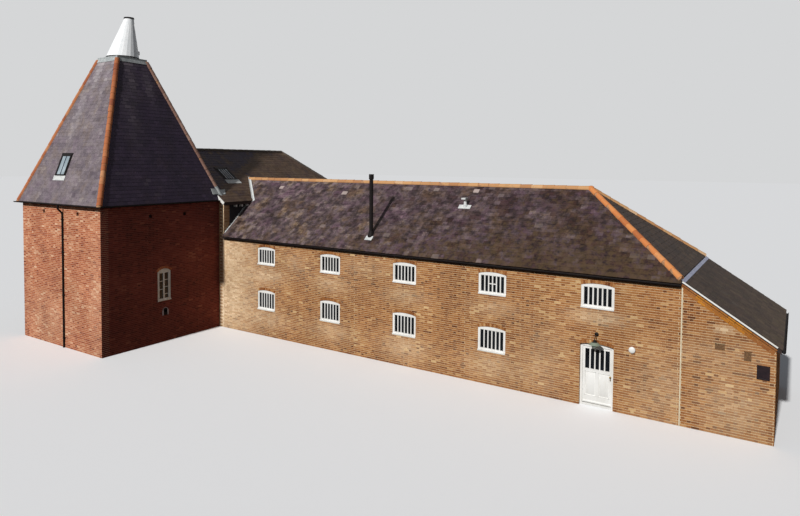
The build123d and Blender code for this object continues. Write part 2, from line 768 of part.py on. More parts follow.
def gutters(lean_foot):
    """Half-round gutters under the eaves, and the kiln's with its downpipe."""
    y = -range_overhang - gutter
    z = range_surface(-range_overhang) - range_drop / 2
    front = half_gutter((wing_overhang, y, z), (range_length, y, z))
    back = half_gutter((wing_overhang, range_depth - y, z), (range_length, range_depth - y, z))
    x = lean_x + lean_overhang + gutter
    rim = lean_foot - lean_drop / 2
    end = half_gutter((x, 0, rim), (x, range_depth, rim))
    save("range_gutters", front, back, end)

    out = kiln_foot_half + gutter
    z = kiln_wall_top + gutter
    left, right = kiln_x - out, kiln_x + out
    near = kiln_y - out
    lines = [((left - gutter, near, z), (right + gutter, near, z))]
    lines += [((x, near, z), (x, -wing_verge, z)) for x in (left, right)]
    x = left + kiln_pipe_at + gutter
    close = -kiln_side - pipe - fit
    elbow = (x, near, z - pipe_drop)
    knee = (x, close, z - 2 * pipe_drop)
    path = FilletPolyline((x, near, z - gutter + gutter_wall), elbow, knee, (x, close, 0), radius=pipe_bend)
    runs = sweep(Plane(origin=path @ 0, z_dir=path % 0) * Circle(pipe), path=path)
    for start, stop in lines:
        runs += rod(start, stop, gutter)
    for start, stop in lines:
        runs -= rod(start, stop, gutter - gutter_wall)
    span = 2 * kiln_side
    runs -= block(left - span, right + span, near - span, span, z, z + 2 * gutter)
    save("kiln_gutter_and_downpipe", runs)


def roof_fittings():
    """The black flue pipe with its cap, the small roof vent and the lamp over the door."""
    x, y = flue_at
    solid = range_envelope()
    pipe_up = rod((x, y, range_wall_top), (x, y, flue_top), flue) - solid
    pipe_up += rod((x, y, flue_top), (x, y, flue_top + flue_cap_height), flue_cap)
    save("flue_pipe", pipe_up.solids().sort_by(SortBy.VOLUME)[-1])

    x, y = vent_at
    z = range_surface(y)
    vent = rod((x, y, z - vent_reach), (x, y, z + vent_reach), vent_pipe)
    vent += Pos(x, y - vent_pipe, z + vent_reach) * Box(3 * vent_pipe, 4 * vent_pipe, vent_pipe)
    vent -= solid
    save("roof_vent", vent.solids().sort_by(SortBy.VOLUME)[-1])

    out = -lamp_reach
    neck = lamp_foot + shade_height
    elbow = (door_x, out, neck + lamp_stem)
    plate = rod((door_x, 0, lamp_level), (door_x, -lamp_plate_depth, lamp_level), lamp_plate)
    arm = rod((door_x, -lamp_plate_depth / 2, lamp_level), elbow, lamp_arm)
    stem = rod((door_x, out, neck - shade_wall), elbow, lamp_arm) + Pos(*elbow) * Sphere(lamp_arm)
    shade = Pos(door_x, out, lamp_foot + shade_height / 2) * Cone(shade_radius, shade_neck, shade_height)
    bulge = (shade_radius - shade_wall, shade_neck - shade_wall, shade_height)
    shade -= Pos(door_x, out, lamp_foot + shade_height / 2 - shade_wall) * Cone(*bulge)
    save("door_lamp", plate + arm + stem + shade)


range_walls()
range_windows()
range_floors()
range_roof_slopes()
range_ridge_tiles()
door_frame()
entrance_door()
lean_foot = lean_to()
wing_walls()
wing_windows()
wing_floor()
wing_roof_slopes()
wing_ridge_tiles()
rooflights()
kiln_walls()
kiln_windows()
kiln_roof_slopes()
kiln_hip_tiles()
kiln_top()
cowl()
gutters(lean_foot)
roof_fittings()
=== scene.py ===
import functools
import json
import math

import bpy
import numpy as np
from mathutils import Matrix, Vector

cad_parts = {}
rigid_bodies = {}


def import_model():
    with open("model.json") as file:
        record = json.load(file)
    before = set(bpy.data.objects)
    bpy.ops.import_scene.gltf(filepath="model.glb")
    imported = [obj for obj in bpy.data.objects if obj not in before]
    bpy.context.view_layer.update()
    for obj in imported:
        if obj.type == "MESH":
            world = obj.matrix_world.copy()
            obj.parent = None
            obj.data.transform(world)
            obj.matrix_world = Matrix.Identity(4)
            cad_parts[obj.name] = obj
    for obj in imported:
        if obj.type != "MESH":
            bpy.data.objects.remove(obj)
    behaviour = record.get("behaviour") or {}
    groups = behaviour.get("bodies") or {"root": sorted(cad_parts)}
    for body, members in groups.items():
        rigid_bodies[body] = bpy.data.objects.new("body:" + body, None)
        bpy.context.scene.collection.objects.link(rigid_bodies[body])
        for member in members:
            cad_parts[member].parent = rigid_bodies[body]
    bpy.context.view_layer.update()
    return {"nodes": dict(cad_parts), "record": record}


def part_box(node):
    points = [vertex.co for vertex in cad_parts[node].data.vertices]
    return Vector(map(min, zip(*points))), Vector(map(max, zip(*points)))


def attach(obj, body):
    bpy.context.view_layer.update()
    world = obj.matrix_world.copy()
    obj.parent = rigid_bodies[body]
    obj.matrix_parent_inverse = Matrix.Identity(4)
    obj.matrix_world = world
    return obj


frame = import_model()
corner = np.array(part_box("range_front_wall_left")[0], float)  # where range and wing meet, at ground level
print("frame loaded,", len(frame["nodes"]), "nodes")


# below this line: metres from that corner, x along the range, y to the back, z up

def linear(code):
    # sRGB hex to linear light: c / 12.92 up to 0.04045, else ((c + 0.055) / 1.055) to the power 2.4
    value = np.array([int(code[i:i + 2], 16) for i in (1, 3, 5)]) / 255
    value = np.where(value <= 0.04045, value / 12.92, ((value + 0.055) / 1.055) ** 2.4)
    return (*value.tolist(), 1.0)


def addNode(tree, kind, inputs=None, stops=None, **settings):
    # one shader node: its settings, its inputs, and a ramp's stops if it has them; as an input, a node gives
    # its first output, a text is a colour in hex, and anything else is the value itself
    node = tree.nodes.new("ShaderNode" + kind)
    for key, value in settings.items():
        setattr(node, key, value)
    for key, value in (inputs or {}).items():
        if isinstance(value, bpy.types.Node):
            value = value.outputs[0]
        if isinstance(value, bpy.types.NodeSocket):
            tree.links.new(value, node.inputs[key])
        else:
            node.inputs[key].default_value = linear(value) if isinstance(value, str) else value
    if stops:
        bar = node.color_ramp.elements
        while len(bar) < len(stops):
            bar.new(0.5)
        for element, (position, code) in zip(bar, stops.items()):
            element.position = position
            element.color = linear(code)
    return node


def newMaterial(name):
    # an empty material, what adds a node to it, and the place on the object that its patterns read
    material = bpy.data.materials.new(name)
    material.use_nodes = True
    material.node_tree.nodes.clear()
    add = functools.partial(addNode, material.node_tree)
    return material, add, add("TexCoord").outputs["Object"]


def link(name, data):
    # a new object of that name in the scene
    thing = bpy.data.objects.new(name, data)
    bpy.context.scene.collection.objects.link(thing)
    return thing


def addPiece(name, shape, material, body="building"):
    # shape is points (n, 3), faces as one or more index arrays, and marks (n, 2) for tone and wear
    points, faces, marks = shape
    groups = faces if isinstance(faces, list) else [faces]
    loops = np.concatenate([group.ravel() for group in groups])
    sizes = np.concatenate([np.full(len(group), group.shape[1]) for group in groups])
    mesh = bpy.data.meshes.new(name)
    mesh.vertices.add(len(points))
    mesh.vertices.foreach_set("co", (points + corner).astype(np.float32).ravel())
    mesh.loops.add(len(loops))
    mesh.loops.foreach_set("vertex_index", loops.astype(np.int32))
    mesh.polygons.add(len(sizes))
    mesh.polygons.foreach_set("loop_start", np.concatenate([[0], np.cumsum(sizes)[:-1]]).astype(np.int32))
    mesh.update(calc_edges=True)
    mesh.validate()
    mesh.set_sharp_from_angle(angle=math.radians(35))  # edges sharper than this stay crisp, rounds stay round
    for i, mark in enumerate(("tone", "worn")):
        store = mesh.attributes.new(mark, "FLOAT", "POINT")
        store.data.foreach_set("value", marks[:, i].astype(np.float32))
    mesh.materials.append(material)
    piece = link(name, mesh)
    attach(piece, body)


def countOf(ending):
    # how many blocks of six faces the pieces of that name hold
    return sum(len(piece.data.polygons) // 6 for piece in bpy.data.objects if piece.name.endswith(ending))


def gather(*shapes):
    # several closed shapes become one list of points, faces and marks
    points, marks, faces, start = [], [], {}, 0
    for some, groups, mark in shapes:
        for group in (groups if isinstance(groups, list) else [groups]):
            faces.setdefault(group.shape[1], []).append(group + start)
        points.append(some)
        marks.append(mark)
        start += len(some)
    return np.concatenate(points), [np.concatenate(group) for group in faces.values()], np.concatenate(marks)


def facing(origin, turn, pitch=90):
    # a face seen from outside: across runs to the right, up runs up its slope, out is across x up
    a, p = math.radians(turn), math.radians(pitch)
    across = np.array([math.cos(a), math.sin(a), 0])
    up = np.array([-math.sin(a) * math.cos(p), math.cos(a) * math.cos(p), math.sin(p)])
    return np.array(origin, float), across, up, np.cross(across, up)


blockFaces = np.array([[4, 5, 6, 7], [0, 1, 5, 4], [1, 2, 6, 5], [2, 3, 7, 6], [3, 0, 4, 7], [3, 2, 1, 0]])


def plates(face, outline, back, front, tone=0.5, worn=0.0, top=None):
    # each four-cornered outline (n, 4, 2) on a face becomes a closed block between two heights above it;
    # a second outline for the top gives it sloping sides
    origin, across, up, out = face
    outline = np.asarray(outline, float).reshape(-1, 4, 2)
    top = outline if top is None else np.asarray(top, float).reshape(-1, 4, 2)
    n = len(outline)
    rings = []
    for corners, height in ((outline, back), (top, front)):
        height = np.broadcast_to(height, (n, 4))[..., None]
        rings.append(origin + corners[..., :1] * across + corners[..., 1:] * up + height * out)
    points = np.concatenate(rings, axis=1).reshape(-1, 3)
    faces = (blockFaces + 8 * np.arange(n)[:, None, None]).reshape(-1, 4)
    marks = np.stack([np.broadcast_to(tone, n), np.broadcast_to(worn, n)], -1)
    return points, faces, np.repeat(marks, 8, axis=0)


def quads(*corners):
    # four corners, each a pair of arrays (across, up), to outlines (n, 4, 2)
    return np.stack([np.stack(pair, -1) for pair in corners], 1)


def rectangles(*boxes):
    # corner pairs (u0, u1, v0, v1) to four-cornered outlines, anticlockwise
    u0, u1, v0, v1 = np.array(boxes, float).T
    return quads((u0, v0), (u1, v0), (u1, v1), (u0, v1))


def boards(face, boxes, back, front, **more):
    # plates with upright rectangular outlines
    return plates(face, rectangles(*boxes), back, front, **more)


def border(u0, u1, v0, v1, wide):
    # the four sides of a frame inside a box: left, right, foot and head
    upright = [(u0, u0 + wide, v0, v1), (u1 - wide, u1, v0, v1)]
    return upright + [(u0, u1, v0, v0 + wide), (u0, u1, v1 - wide, v1)]


def blockOf(low, high):
    # an upright box between two corners
    low, high = np.array(low, float), np.array(high, float)
    return boards(facing(low, 0, 0), [(0, high[0] - low[0], 0, high[1] - low[1])], 0, high[2] - low[2])


def turned(centre, profile, axis=(0, 0, 1), steps=24):
    # a profile of (radius, height) pairs, first and last on the axis, turned about it
    axis = np.array(axis, float) / np.linalg.norm(axis)
    first = np.cross(axis, (0.0, 1.0, 0.0) if abs(axis[1]) < 0.9 else (1.0, 0.0, 0.0))
    first /= np.linalg.norm(first)
    second = np.cross(axis, first)
    radius, height = np.array(profile[1:-1], float).T
    a = 2 * np.pi * np.arange(steps) / steps
    ring = np.cos(a)[None, :, None] * first + np.sin(a)[None, :, None] * second
    body = (np.array(centre) + radius[:, None, None] * ring + height[:, None, None] * axis).reshape(-1, 3)
    ends = np.array([np.array(centre) + profile[0][1] * axis, np.array(centre) + profile[-1][1] * axis])
    rows = len(radius)
    i, k = np.meshgrid(np.arange(rows - 1), np.arange(steps), indexing="ij")
    j = (k + 1) % steps
    walls = np.stack([i * steps + k, i * steps + j, (i + 1) * steps + j, (i + 1) * steps + k], -1)
    k = np.arange(steps)
    j = (k + 1) % steps
    low = np.stack([np.full(steps, rows * steps), j, k], -1)
    high = np.stack([np.full(steps, rows * steps + 1), k + (rows - 1) * steps, j + (rows - 1) * steps], -1)
    points = np.concatenate([body, ends])
    faces = [walls.reshape(-1, 4), np.concatenate([low, high])]
    return points, faces, np.broadcast_to([0.5, 0.0], (len(points), 2))


def drift(u, v, seed, size):
    # a smooth value of about -1 to 1 that wanders over a face: the sum of eight waves of random direction
    pick = np.random.default_rng(seed)
    a, f = pick.uniform(0, np.pi, 8), pick.uniform(0.6, 2.2, 8) * 2 * np.pi / size
    phase = pick.uniform(0, 6.3, 8)
    waves = [np.cos(f[i] * (u * np.cos(a[i]) + v * np.sin(a[i])) + phase[i]) for i in range(8)]
    return np.sum(waves, axis=0) / 2.6


def cutOut(cells, holes):
    # cells (n, 4) of u0, u1, v0, v1: where one meets a hole it gives what is left, right, below and above
    for a, b, c, d in holes:
        hit = (cells[:, 1] > a) & (cells[:, 0] < b) & (cells[:, 3] > c) & (cells[:, 2] < d)
        u0, u1, v0, v1 = cells[hit].T
        lowU, highU = np.maximum(u0, a), np.minimum(u1, b)
        rest = np.concatenate([np.stack(sides, -1) for sides in (
            (u0, np.minimum(u1, a), v0, v1), (np.maximum(u0, b), u1, v0, v1),
            (lowU, highU, v0, np.minimum(v1, c)), (lowU, highU, np.maximum(v0, d), v1))])
        rest = rest[(rest[:, 1] - rest[:, 0] > 0.015) & (rest[:, 3] - rest[:, 2] > 0.008)]
        cells = np.concatenate([cells[~hit], rest])
    return cells


brickwork = dict(course=0.076, joint=0.014, stretcher=0.215, header=0.1025, proud=0.004, sunk=0.004,
                 uneven=0.0016, arch=0.112, archBricks=14)
windows = dict(width=1.05, rise=0.07, storeys=((1.165, 0.825), (3.19, 0.74)),  # foot and height of each row
               bays=(2.74, 6.38, 10.02, 13.66, 17.3), setback=0.015, member=0.08, head=0.06, foot=0.095,
               bar=0.05, slots=6)
door = dict(middle=17.3, width=1.07, head=2.0, leafBack=0.175, leafThick=0.044, low=0.081, left=-0.468,
            right=0.468, stile=0.08, glassSill=1.18, glassHead=1.86, railTop=0.311)


def brickSkin(name, face, width, top, material, slot, seed, holes=(), foot=None, wear=None, tone=(0.5, 0.17)):
    # Flemish bond: stretcher and header take turns along a course, and each course is shifted by half a pair;
    # top and foot give the height limits at a distance along the wall
    b = brickwork
    pick = np.random.default_rng(seed)
    pair = b["stretcher"] + b["header"] + 2 * b["joint"]
    line = np.linspace(0, width, 60)
    rows = np.arange(int(math.ceil(np.max(top(line)) / b["course"])) + 1)
    k = np.arange(-1, int(width / pair) + 2)
    left = (k[None, :] + 0.5 * (rows[:, None] % 2)) * pair + b["joint"] / 2
    low = np.broadcast_to(rows[:, None] * b["course"] + b["joint"] / 2, left.shape)
    thick = b["course"] - b["joint"]
    start = left + b["stretcher"] + b["joint"]
    cells = np.concatenate([np.stack(sides, -1).reshape(-1, 4) for sides in (
        (left, left + b["stretcher"], low, low + thick), (start, start + b["header"], low, low + thick))])
    cells[:, :2] = np.clip(cells[:, :2], 0, width)
    cells = cells[cells[:, 1] - cells[:, 0] > 0.02]
    cells = cutOut(cells, holes)
    u0, u1, v0, v1 = cells.T
    v1Left, v1Right = np.minimum(v1, top(u0)), np.minimum(v1, top(u1))
    v0Left, v0Right = (np.maximum(v0, foot(u0)), np.maximum(v0, foot(u1))) if foot else (v0, v0)
    keep = (v1Left - v0Left > 0.008) & (v1Right - v0Right > 0.008)
    outline = quads((u0, v0Left), (u1, v0Right), (u1, v1Right), (u0, v1Left))[keep]
    u, v = (u0 + u1)[keep] / 2, (v0 + v1)[keep] / 2
    n = len(u)
    isHeader = (u1 - u0)[keep] < 0.11
    shade = tone[0] + tone[1] * pick.normal(size=n) + 0.08 * drift(u, v, seed, 2.5) - 0.12 * isHeader
    worn = np.zeros(n) if wear is None else wear(u, v)
    worn = np.clip(worn * pick.uniform(0.5, 1.25, n), 0, 1)
    front = b["proud"] + b["uneven"] * pick.uniform(-1, 1, (n, 4))
    shape = plates(face, outline, -b["sunk"], front, np.clip(shade, 0.01, 0.99), worn)
    addPiece(name, shape, material)


def archRing(face, middle, spring, width, rise, seed, depth=brickwork["arch"], count=brickwork["archBricks"]):
    # bricks on edge round a segmental arch: the radius is (half width squared + rise squared) / (2 rise)
    radius = ((width / 2) ** 2 + rise ** 2) / (2 * rise)
    half = math.asin(width / 2 / radius)
    pick = np.random.default_rng(seed)
    edges = np.linspace(-half, half, count + 1)
    gap = brickwork["joint"] * 0.4 / radius
    a0, a1 = edges[:-1] + gap, edges[1:] - gap
    centre = spring + rise - radius
    outer = radius + depth
    outline = quads(*[(middle + r * np.sin(a), centre + r * np.cos(a))
                      for a, r in ((a0, radius), (a1, radius), (a1, outer), (a0, outer))])
    front = brickwork["proud"] + 0.004 + 0.001 * pick.uniform(-1, 1, (count, 4))
    tone = np.clip(pick.normal(0.52, 0.2, count), 0.05, 0.95)
    return plates(face, outline, -brickwork["sunk"], front, tone)


# hand-made facing brick: fired clay with a sandy face, so no shine; each brick keeps one clay of the ramp
def brickFinish(name, clays, pale):
    material, add, place = newMaterial(name)
    tone, worn = (add("Attribute", attribute_name=mark).outputs["Fac"] for mark in ("tone", "worn"))
    clay = add("ValToRGB", {"Fac": tone}, clays)
    sand = add("TexNoise", {"Vector": place, "Scale": 38.0, "Detail": 4.0, "Roughness": 0.65})  # 25 mm
    sandy = add("ValToRGB", {"Fac": sand}, {0.3: "#c6c6c6", 0.7: "#ffffff"})
    faced = add("MixRGB", {"Fac": 0.75, "Color1": clay, "Color2": sandy}, blend_type="MULTIPLY")
    limed = add("MixRGB", {"Fac": worn, "Color1": faced, "Color2": pale})
    damp = add("TexNoise", {"Vector": place, "Scale": 0.55, "Detail": 5.0, "Roughness": 0.6})  # 1.8 m
    dampness = add("ValToRGB", {"Fac": damp}, {0.35: "#d6cfc8", 0.62: "#ffffff"})
    stained = add("MixRGB", {"Fac": 0.8, "Color1": limed, "Color2": dampness}, blend_type="MULTIPLY")
    bump = add("Bump", {"Height": sand, "Strength": 0.5, "Distance": 0.002})
    surface = add("BsdfPrincipled", {"Base Color": stained, "Normal": bump, "Roughness": 0.9,
                                     "Specular IOR Level": 0.25})
    add("OutputMaterial", {"Surface": surface})
    return material


# the wall behind the facing bricks: lime mortar joints, and plain brick courses in the reveals and rooms;
# on a floor the courses lie flat
def bedFinish(name, clayA, clayB, mortar, onFloor=False):
    material, add, place = newMaterial(name)
    parts = add("SeparateXYZ", {"Vector": place}).outputs
    around = add("Math", {0: parts["X"], 1: parts["Y"]}, operation="ADD")
    flat = add("CombineXYZ", {"X": around, "Y": parts["Z"]})
    course = add("TexBrick", {"Vector": place if onFloor else flat, "Color1": clayA, "Color2": clayB,
                              "Mortar": mortar, "Scale": 1.0, "Mortar Size": 0.005, "Mortar Smooth": 0.1,
                              "Bias": 0.0, "Brick Width": 0.225, "Row Height": brickwork["course"]})
    grit = add("TexNoise", {"Vector": place, "Scale": 60.0, "Detail": 3.0})  # 17 mm
    gritty = add("ValToRGB", {"Fac": grit}, {0.3: "#a6a6a6", 0.7: "#ffffff"})
    both = add("MixRGB", {"Fac": 0.7, "Color1": course, "Color2": gritty}, blend_type="MULTIPLY")
    bump = add("Bump", {"Height": grit, "Strength": 0.4, "Distance": 0.002})
    surface = add("BsdfPrincipled", {"Base Color": both, "Normal": bump, "Roughness": 0.93})
    add("OutputMaterial", {"Surface": surface})
    return material


# riven slate: split stone with a low sheen, each one of its own bed; lichen takes to it in cushions of about
# 60 mm, thickest where the roof stays damp, low on the slope between the two heights given, and on the
# range towards its right end; blotch is how far stains and tints wander over the slates
def slateFinish(name, beds, lichen, amount, streak, dampHeights, blotch, dampSide=None):
    material, add, place = newMaterial(name)
    tone, worn = (add("Attribute", attribute_name=mark).outputs["Fac"] for mark in ("tone", "worn"))
    bed = add("ValToRGB", {"Fac": tone}, beds)
    riven = add("TexNoise", {"Vector": place, "Scale": 22.0, "Detail": 5.0, "Roughness": 0.6})  # 45 mm
    hue = add("TexNoise", {"Vector": place, "Scale": 1.3, "Detail": 4.0, "Roughness": 0.7})  # 0.8 m
    soot = add("TexNoise", {"Vector": place, "Scale": 3.6, "Detail": 4.0, "Roughness": 0.7})  # 0.3 m
    dulled = bed
    for cloud, strength, ramp in ((riven, 0.8, {0.3: "#b6b6b6", 0.68: "#ffffff"}),
                                  (hue, blotch, {0.36: "#f0d9f4", 0.5: "#ffffff", 0.64: "#ffedc0"}),
                                  (soot, blotch, {0.4: "#8c8688", 0.58: "#ffffff"})):
        shaded = add("ValToRGB", {"Fac": cloud}, ramp)
        dulled = add("MixRGB", {"Fac": strength, "Color1": dulled, "Color2": shaded}, blend_type="MULTIPLY")
    taken = add("TexNoise", {"Vector": place, "Scale": 5.5, "Detail": 6.0, "Roughness": 0.72})  # 0.18 m
    parts = add("SeparateXYZ", {"Vector": place}).outputs
    limits = [(parts["Z"], *dampHeights, 0.06, -0.07)]
    if dampSide:
        limits.append((parts["X"], *dampSide, -0.05, 0.07))
    for level, low, high, atLow, atHigh in limits:
        damp = add("MapRange", {"Value": level, "From Min": low, "From Max": high, "To Min": atLow,
                                "To Max": atHigh})
        taken = add("Math", {0: taken, 1: damp}, operation="ADD")
    grown = add("ValToRGB", {"Fac": taken}, {1 - amount - 0.08: "#000000", 1 - amount + 0.07: "#d0d0d0"})
    mossy = add("MixRGB", {"Fac": grown, "Color1": dulled, "Color2": lichen})
    pale = add("MixRGB", {"Fac": worn, "Color1": mossy, "Color2": streak})
    bump = add("Bump", {"Height": riven, "Strength": 0.5, "Distance": 0.003})
    surface = add("BsdfPrincipled", {"Base Color": pale, "Normal": bump, "Roughness": 0.72,
                                     "Specular IOR Level": 0.25})
    add("OutputMaterial", {"Surface": surface})
    return material


# a plain finish with a mottle: size of the mottle in metres, how much it darkens, and a bump in metres
def mottledFinish(name, light, dark, size, roughness, bumpHeight=0.001, metallic=0.0, stretch=(1, 1, 1),
                  sheen=0.5):
    material, add, place = newMaterial(name)
    mapped = add("Mapping", {"Vector": place, "Scale": stretch})
    cloud = add("TexNoise", {"Vector": mapped, "Scale": 1 / size, "Detail": 6.0, "Roughness": 0.62})
    ramp = add("ValToRGB", {"Fac": cloud}, {0.36: dark, 0.62: light})
    bump = add("Bump", {"Height": cloud, "Strength": 0.5, "Distance": bumpHeight})
    surface = add("BsdfPrincipled", {"Base Color": ramp, "Normal": bump, "Roughness": roughness,
                                     "Metallic": metallic, "Specular IOR Level": sheen})
    add("OutputMaterial", {"Surface": surface})
    return material


# fired clay tile: orange body with soot and moss in its hollows, each tile its own shade
def tileFinish(name, clays, moss):
    material, add, place = newMaterial(name)
    clay = add("ValToRGB", {"Fac": add("Attribute", attribute_name="tone").outputs["Fac"]}, clays)
    spot = add("TexNoise", {"Vector": place, "Scale": 11.0, "Detail": 6.0, "Roughness": 0.7})  # 90 mm
    grown = add("ValToRGB", {"Fac": spot}, {0.55: "#000000", 0.72: "#ffffff"})
    mossy = add("MixRGB", {"Fac": grown, "Color1": clay, "Color2": moss})
    bump = add("Bump", {"Height": spot, "Strength": 0.6, "Distance": 0.004})
    surface = add("BsdfPrincipled", {"Base Color": mossy, "Normal": bump, "Roughness": 0.85})
    add("OutputMaterial", {"Surface": surface})
    return material


# enamelled lamp shade: a pale green skirt under a dark cap, parted at the height given
def shadeFinish(name, skirt, cap, height):
    material, add, place = newMaterial(name)
    level = add("SeparateXYZ", {"Vector": place}).outputs["Z"]
    isCap = add("Math", {0: level, 1: height}, operation="GREATER_THAN")
    colour = add("MixRGB", {"Fac": isCap, "Color1": skirt, "Color2": cap})
    surface = add("BsdfPrincipled", {"Base Color": colour, "Roughness": 0.45})
    add("OutputMaterial", {"Surface": surface})
    return material


# window glass before dark rooms: almost no body colour, smooth, with the sky in it at a glance
def glassFinish(name):
    material, add, place = newMaterial(name)
    ripple = add("TexNoise", {"Vector": place, "Scale": 3.0, "Detail": 1.0})  # 0.3 m
    shade = add("ValToRGB", {"Fac": ripple}, {0.4: "#080a0d", 0.65: "#14181d"})
    bump = add("Bump", {"Height": ripple, "Strength": 0.15, "Distance": 0.01})
    surface = add("BsdfPrincipled", {"Base Color": shade, "Normal": bump, "Roughness": 0.07, "IOR": 1.52})
    add("OutputMaterial", {"Surface": surface})
    return material


rangeBrick = brickFinish("handMadeBuffBrick", {0: "#693719", 0.2: "#90552b", 0.45: "#ab6e3b", 0.7: "#c18852",
                                               1: "#e3bb85"}, "#ebcea9")
kilnBrick = brickFinish("handMadeRedBrick", {0: "#7f3922", 0.22: "#a65335", 0.48: "#c5734c", 0.75: "#dc946b",
                                             1: "#f2c19c"}, "#e2c0a0")
# the kiln's right wall: its red brick again, darker and deeper red, as painted shade for the side that faces
# away from the light
shadyBrick = brickFinish("handMadeDarkRedBrick", {0: "#5c241c", 0.25: "#78322a", 0.5: "#883c31",
                                                  0.75: "#984a3b", 1: "#b0664e"}, "#a9735c")
wingBrick = brickFinish("handMadePaleBrick", {0: "#a56f49", 0.25: "#c08d62", 0.5: "#d2a57b", 0.75: "#deb88e",
                                              1: "#edd1aa"}, "#ead2b0")
rangeBed = bedFinish("limeMortarBuff", "#ae7a4c", "#c49360", "#efdab0")
kilnBed = bedFinish("limeMortarRed", "#ad6348", "#c27858", "#efceb0")
# the mortar behind the kiln's right wall, darker, as painted shade
shadyBed = bedFinish("sootyMortarRed", "#7d3a2e", "#8d4638", "#a8735f")
wingBed = bedFinish("limeMortarPale", "#b8855a", "#cf9d70", "#dfc69e")
rangeSlate = slateFinish("weatheredSlateRange", {0: "#3a2220", 0.25: "#4c3836", 0.5: "#604f51",
                                                 0.75: "#726162", 1: "#8d7c78"}, "#503e26", 0.42, "#c4b2aa",
                         (4.4, 5.9), 0.95, dampSide=(-2.5, 8.5))
kilnSlate = slateFinish("purpleSlateKiln", {0: "#685d64", 0.25: "#796e74", 0.5: "#877b80", 0.75: "#938789",
                                            1: "#a59b9c"}, "#7f7675", 0.30, "#c2baba", (5.9, 9.0), 0.35)
# the kiln's right slope: its slate made dark purple as painted shade for the slope that faces away from the
# light
shadySlate = slateFinish("darkPurpleSlate", {0: "#271e2f", 0.5: "#382d3f", 1: "#4a3d50"}, "#40383f", 0.26,
                         "#84787f", (5.9, 9.0), 0.3)
# brown slate for the wing; its two lowest stops, dark and blue, are the colour of the painted shadow of the
# kiln on the right slope
wingSlate = slateFinish("brownSlateWing", {0: "#2d2233", 0.14: "#392b33", 0.3: "#503e33", 0.5: "#5c483a",
                                           0.75: "#675444", 1: "#776451"}, "#5b4d33", 0.40, "#8a8178",
                        (2.5, 8.4), 0.45)
# dark slate for the lean-to; on the range's hip end, at a low tone, it is painted shade for the end that
# faces away from the light
darkSlate = slateFinish("sootySlateLeanTo", {0: "#30221a", 0.5: "#443328", 1: "#5c4b3b"}, "#4b412c", 0.38,
                        "#6f665e", (2.5, 6.9), 0.45)
clayTile = tileFinish("orangeClayTile", {0: "#ab5f31", 0.35: "#c87740", 0.65: "#d3884c", 1: "#dca77c"},
                      "#a07c55")
ridgeTile = tileFinish("tanClayTile", {0: "#a06a43", 0.35: "#b88455", 0.65: "#c59563", 1: "#d3ad86"},
                       "#93805c")
hipTile = tileFinish("redClayTile", {0: "#8e4a2c", 0.35: "#a95f36", 0.65: "#b56d40", 1: "#c38a5e"}, "#6b5640")
# the kiln's rear hips: clay tile made dull brown as painted shade, for hips seen from their shaded side
sootyTile = tileFinish("sootyClayTile", {0: "#745247", 0.5: "#8e6a5b", 1: "#a98878"}, "#6b5640")
beddingMortar = mottledFinish("beddingMortar", "#b98c63", "#96694a", 0.05, 0.95, 0.003)
whitePaint = mottledFinish("whiteOilPaint", "#e9e7e2", "#d9d6cf", 0.35, 0.45, 0.0006, stretch=(1, 1, 0.3))
cowlPaint = mottledFinish("whitePaintedBoards", "#fbfbfa", "#eef0f0", 0.22, 0.5, 0.001, stretch=(1, 1, 0.2))
leadSheet = mottledFinish("weatheredLead", "#b9bcba", "#8f9494", 0.16, 0.6, 0.002)
leadPale = mottledFinish("chalkedLead", "#d6d6d2", "#b4b7b6", 0.12, 0.65, 0.002)
leadBlue = mottledFinish("freshBlueLead", "#a3a5b8", "#8a8da3", 0.14, 0.6, 0.002)
castIron = mottledFinish("blackPaintedIron", "#1b1514", "#120e0e", 0.08, 0.65, 0.0006, sheen=0.15)
fasciaBoard = mottledFinish("stainedFascia", "#3a2c28", "#2a201d", 0.3, 0.75, 0.002, stretch=(0.3, 0.3, 4),
                            sheen=0.25)
tarredBoard = mottledFinish("tarredBoards", "#201b1e", "#110f13", 0.4, 0.65, 0.002, stretch=(1, 0.15, 3),
                            sheen=0.25)
oakBoard = mottledFinish("oiledOak", "#7a5b3c", "#5a4029", 0.12, 0.6, 0.001, stretch=(0.2, 1, 1))
brassKnob = mottledFinish("agedBrass", "#9c8250", "#74603a", 0.02, 0.38, 0.0002, metallic=1.0)
palePaint = mottledFinish("weatheredLilacPaint", "#b5a3a6", "#96848a", 0.06, 0.7)
jointStrip = mottledFinish("creamSealantStrip", "#ddd0b4", "#cbbd9f", 0.1, 0.8)
airBrick = mottledFinish("brownAirBrick", "#7c5a38", "#5a4028", 0.04, 0.85, 0.001)
signPaint = mottledFinish("darkSignPaint", "#2a1c20", "#1d1418", 0.1, 0.35, 0.0004)
lampGlass = mottledFinish("greenLampGlass", "#c6d2c4", "#a9b8a8", 0.05, 0.12, 0.0003)
lampShade = shadeFinish("enamelledLampShade", "#7b8777", "#1b1a19", 2.175)
paneGlass = glassFinish("darkWindowGlass")
# the kiln's rooflight panes: pale blue-grey, a painted reflection of the sky
skyGlass = mottledFinish("rooflightGlassUnderSky", "#9fadb3", "#7d8c94", 0.3, 0.12, 0.0004)
# the wing's rooflight glass: dark navy and without sheen, painted shade for glass in the kiln's shadow
duskGlass = mottledFinish("rooflightGlassInShade", "#1d2238", "#121627", 0.3, 0.6, 0.0002, sheen=0.0)
paviour = bedFinish("brickPaviours", "#7c5140", "#8d6049", "#8a7866", onFloor=True)
print("materials made:", len(bpy.data.materials))

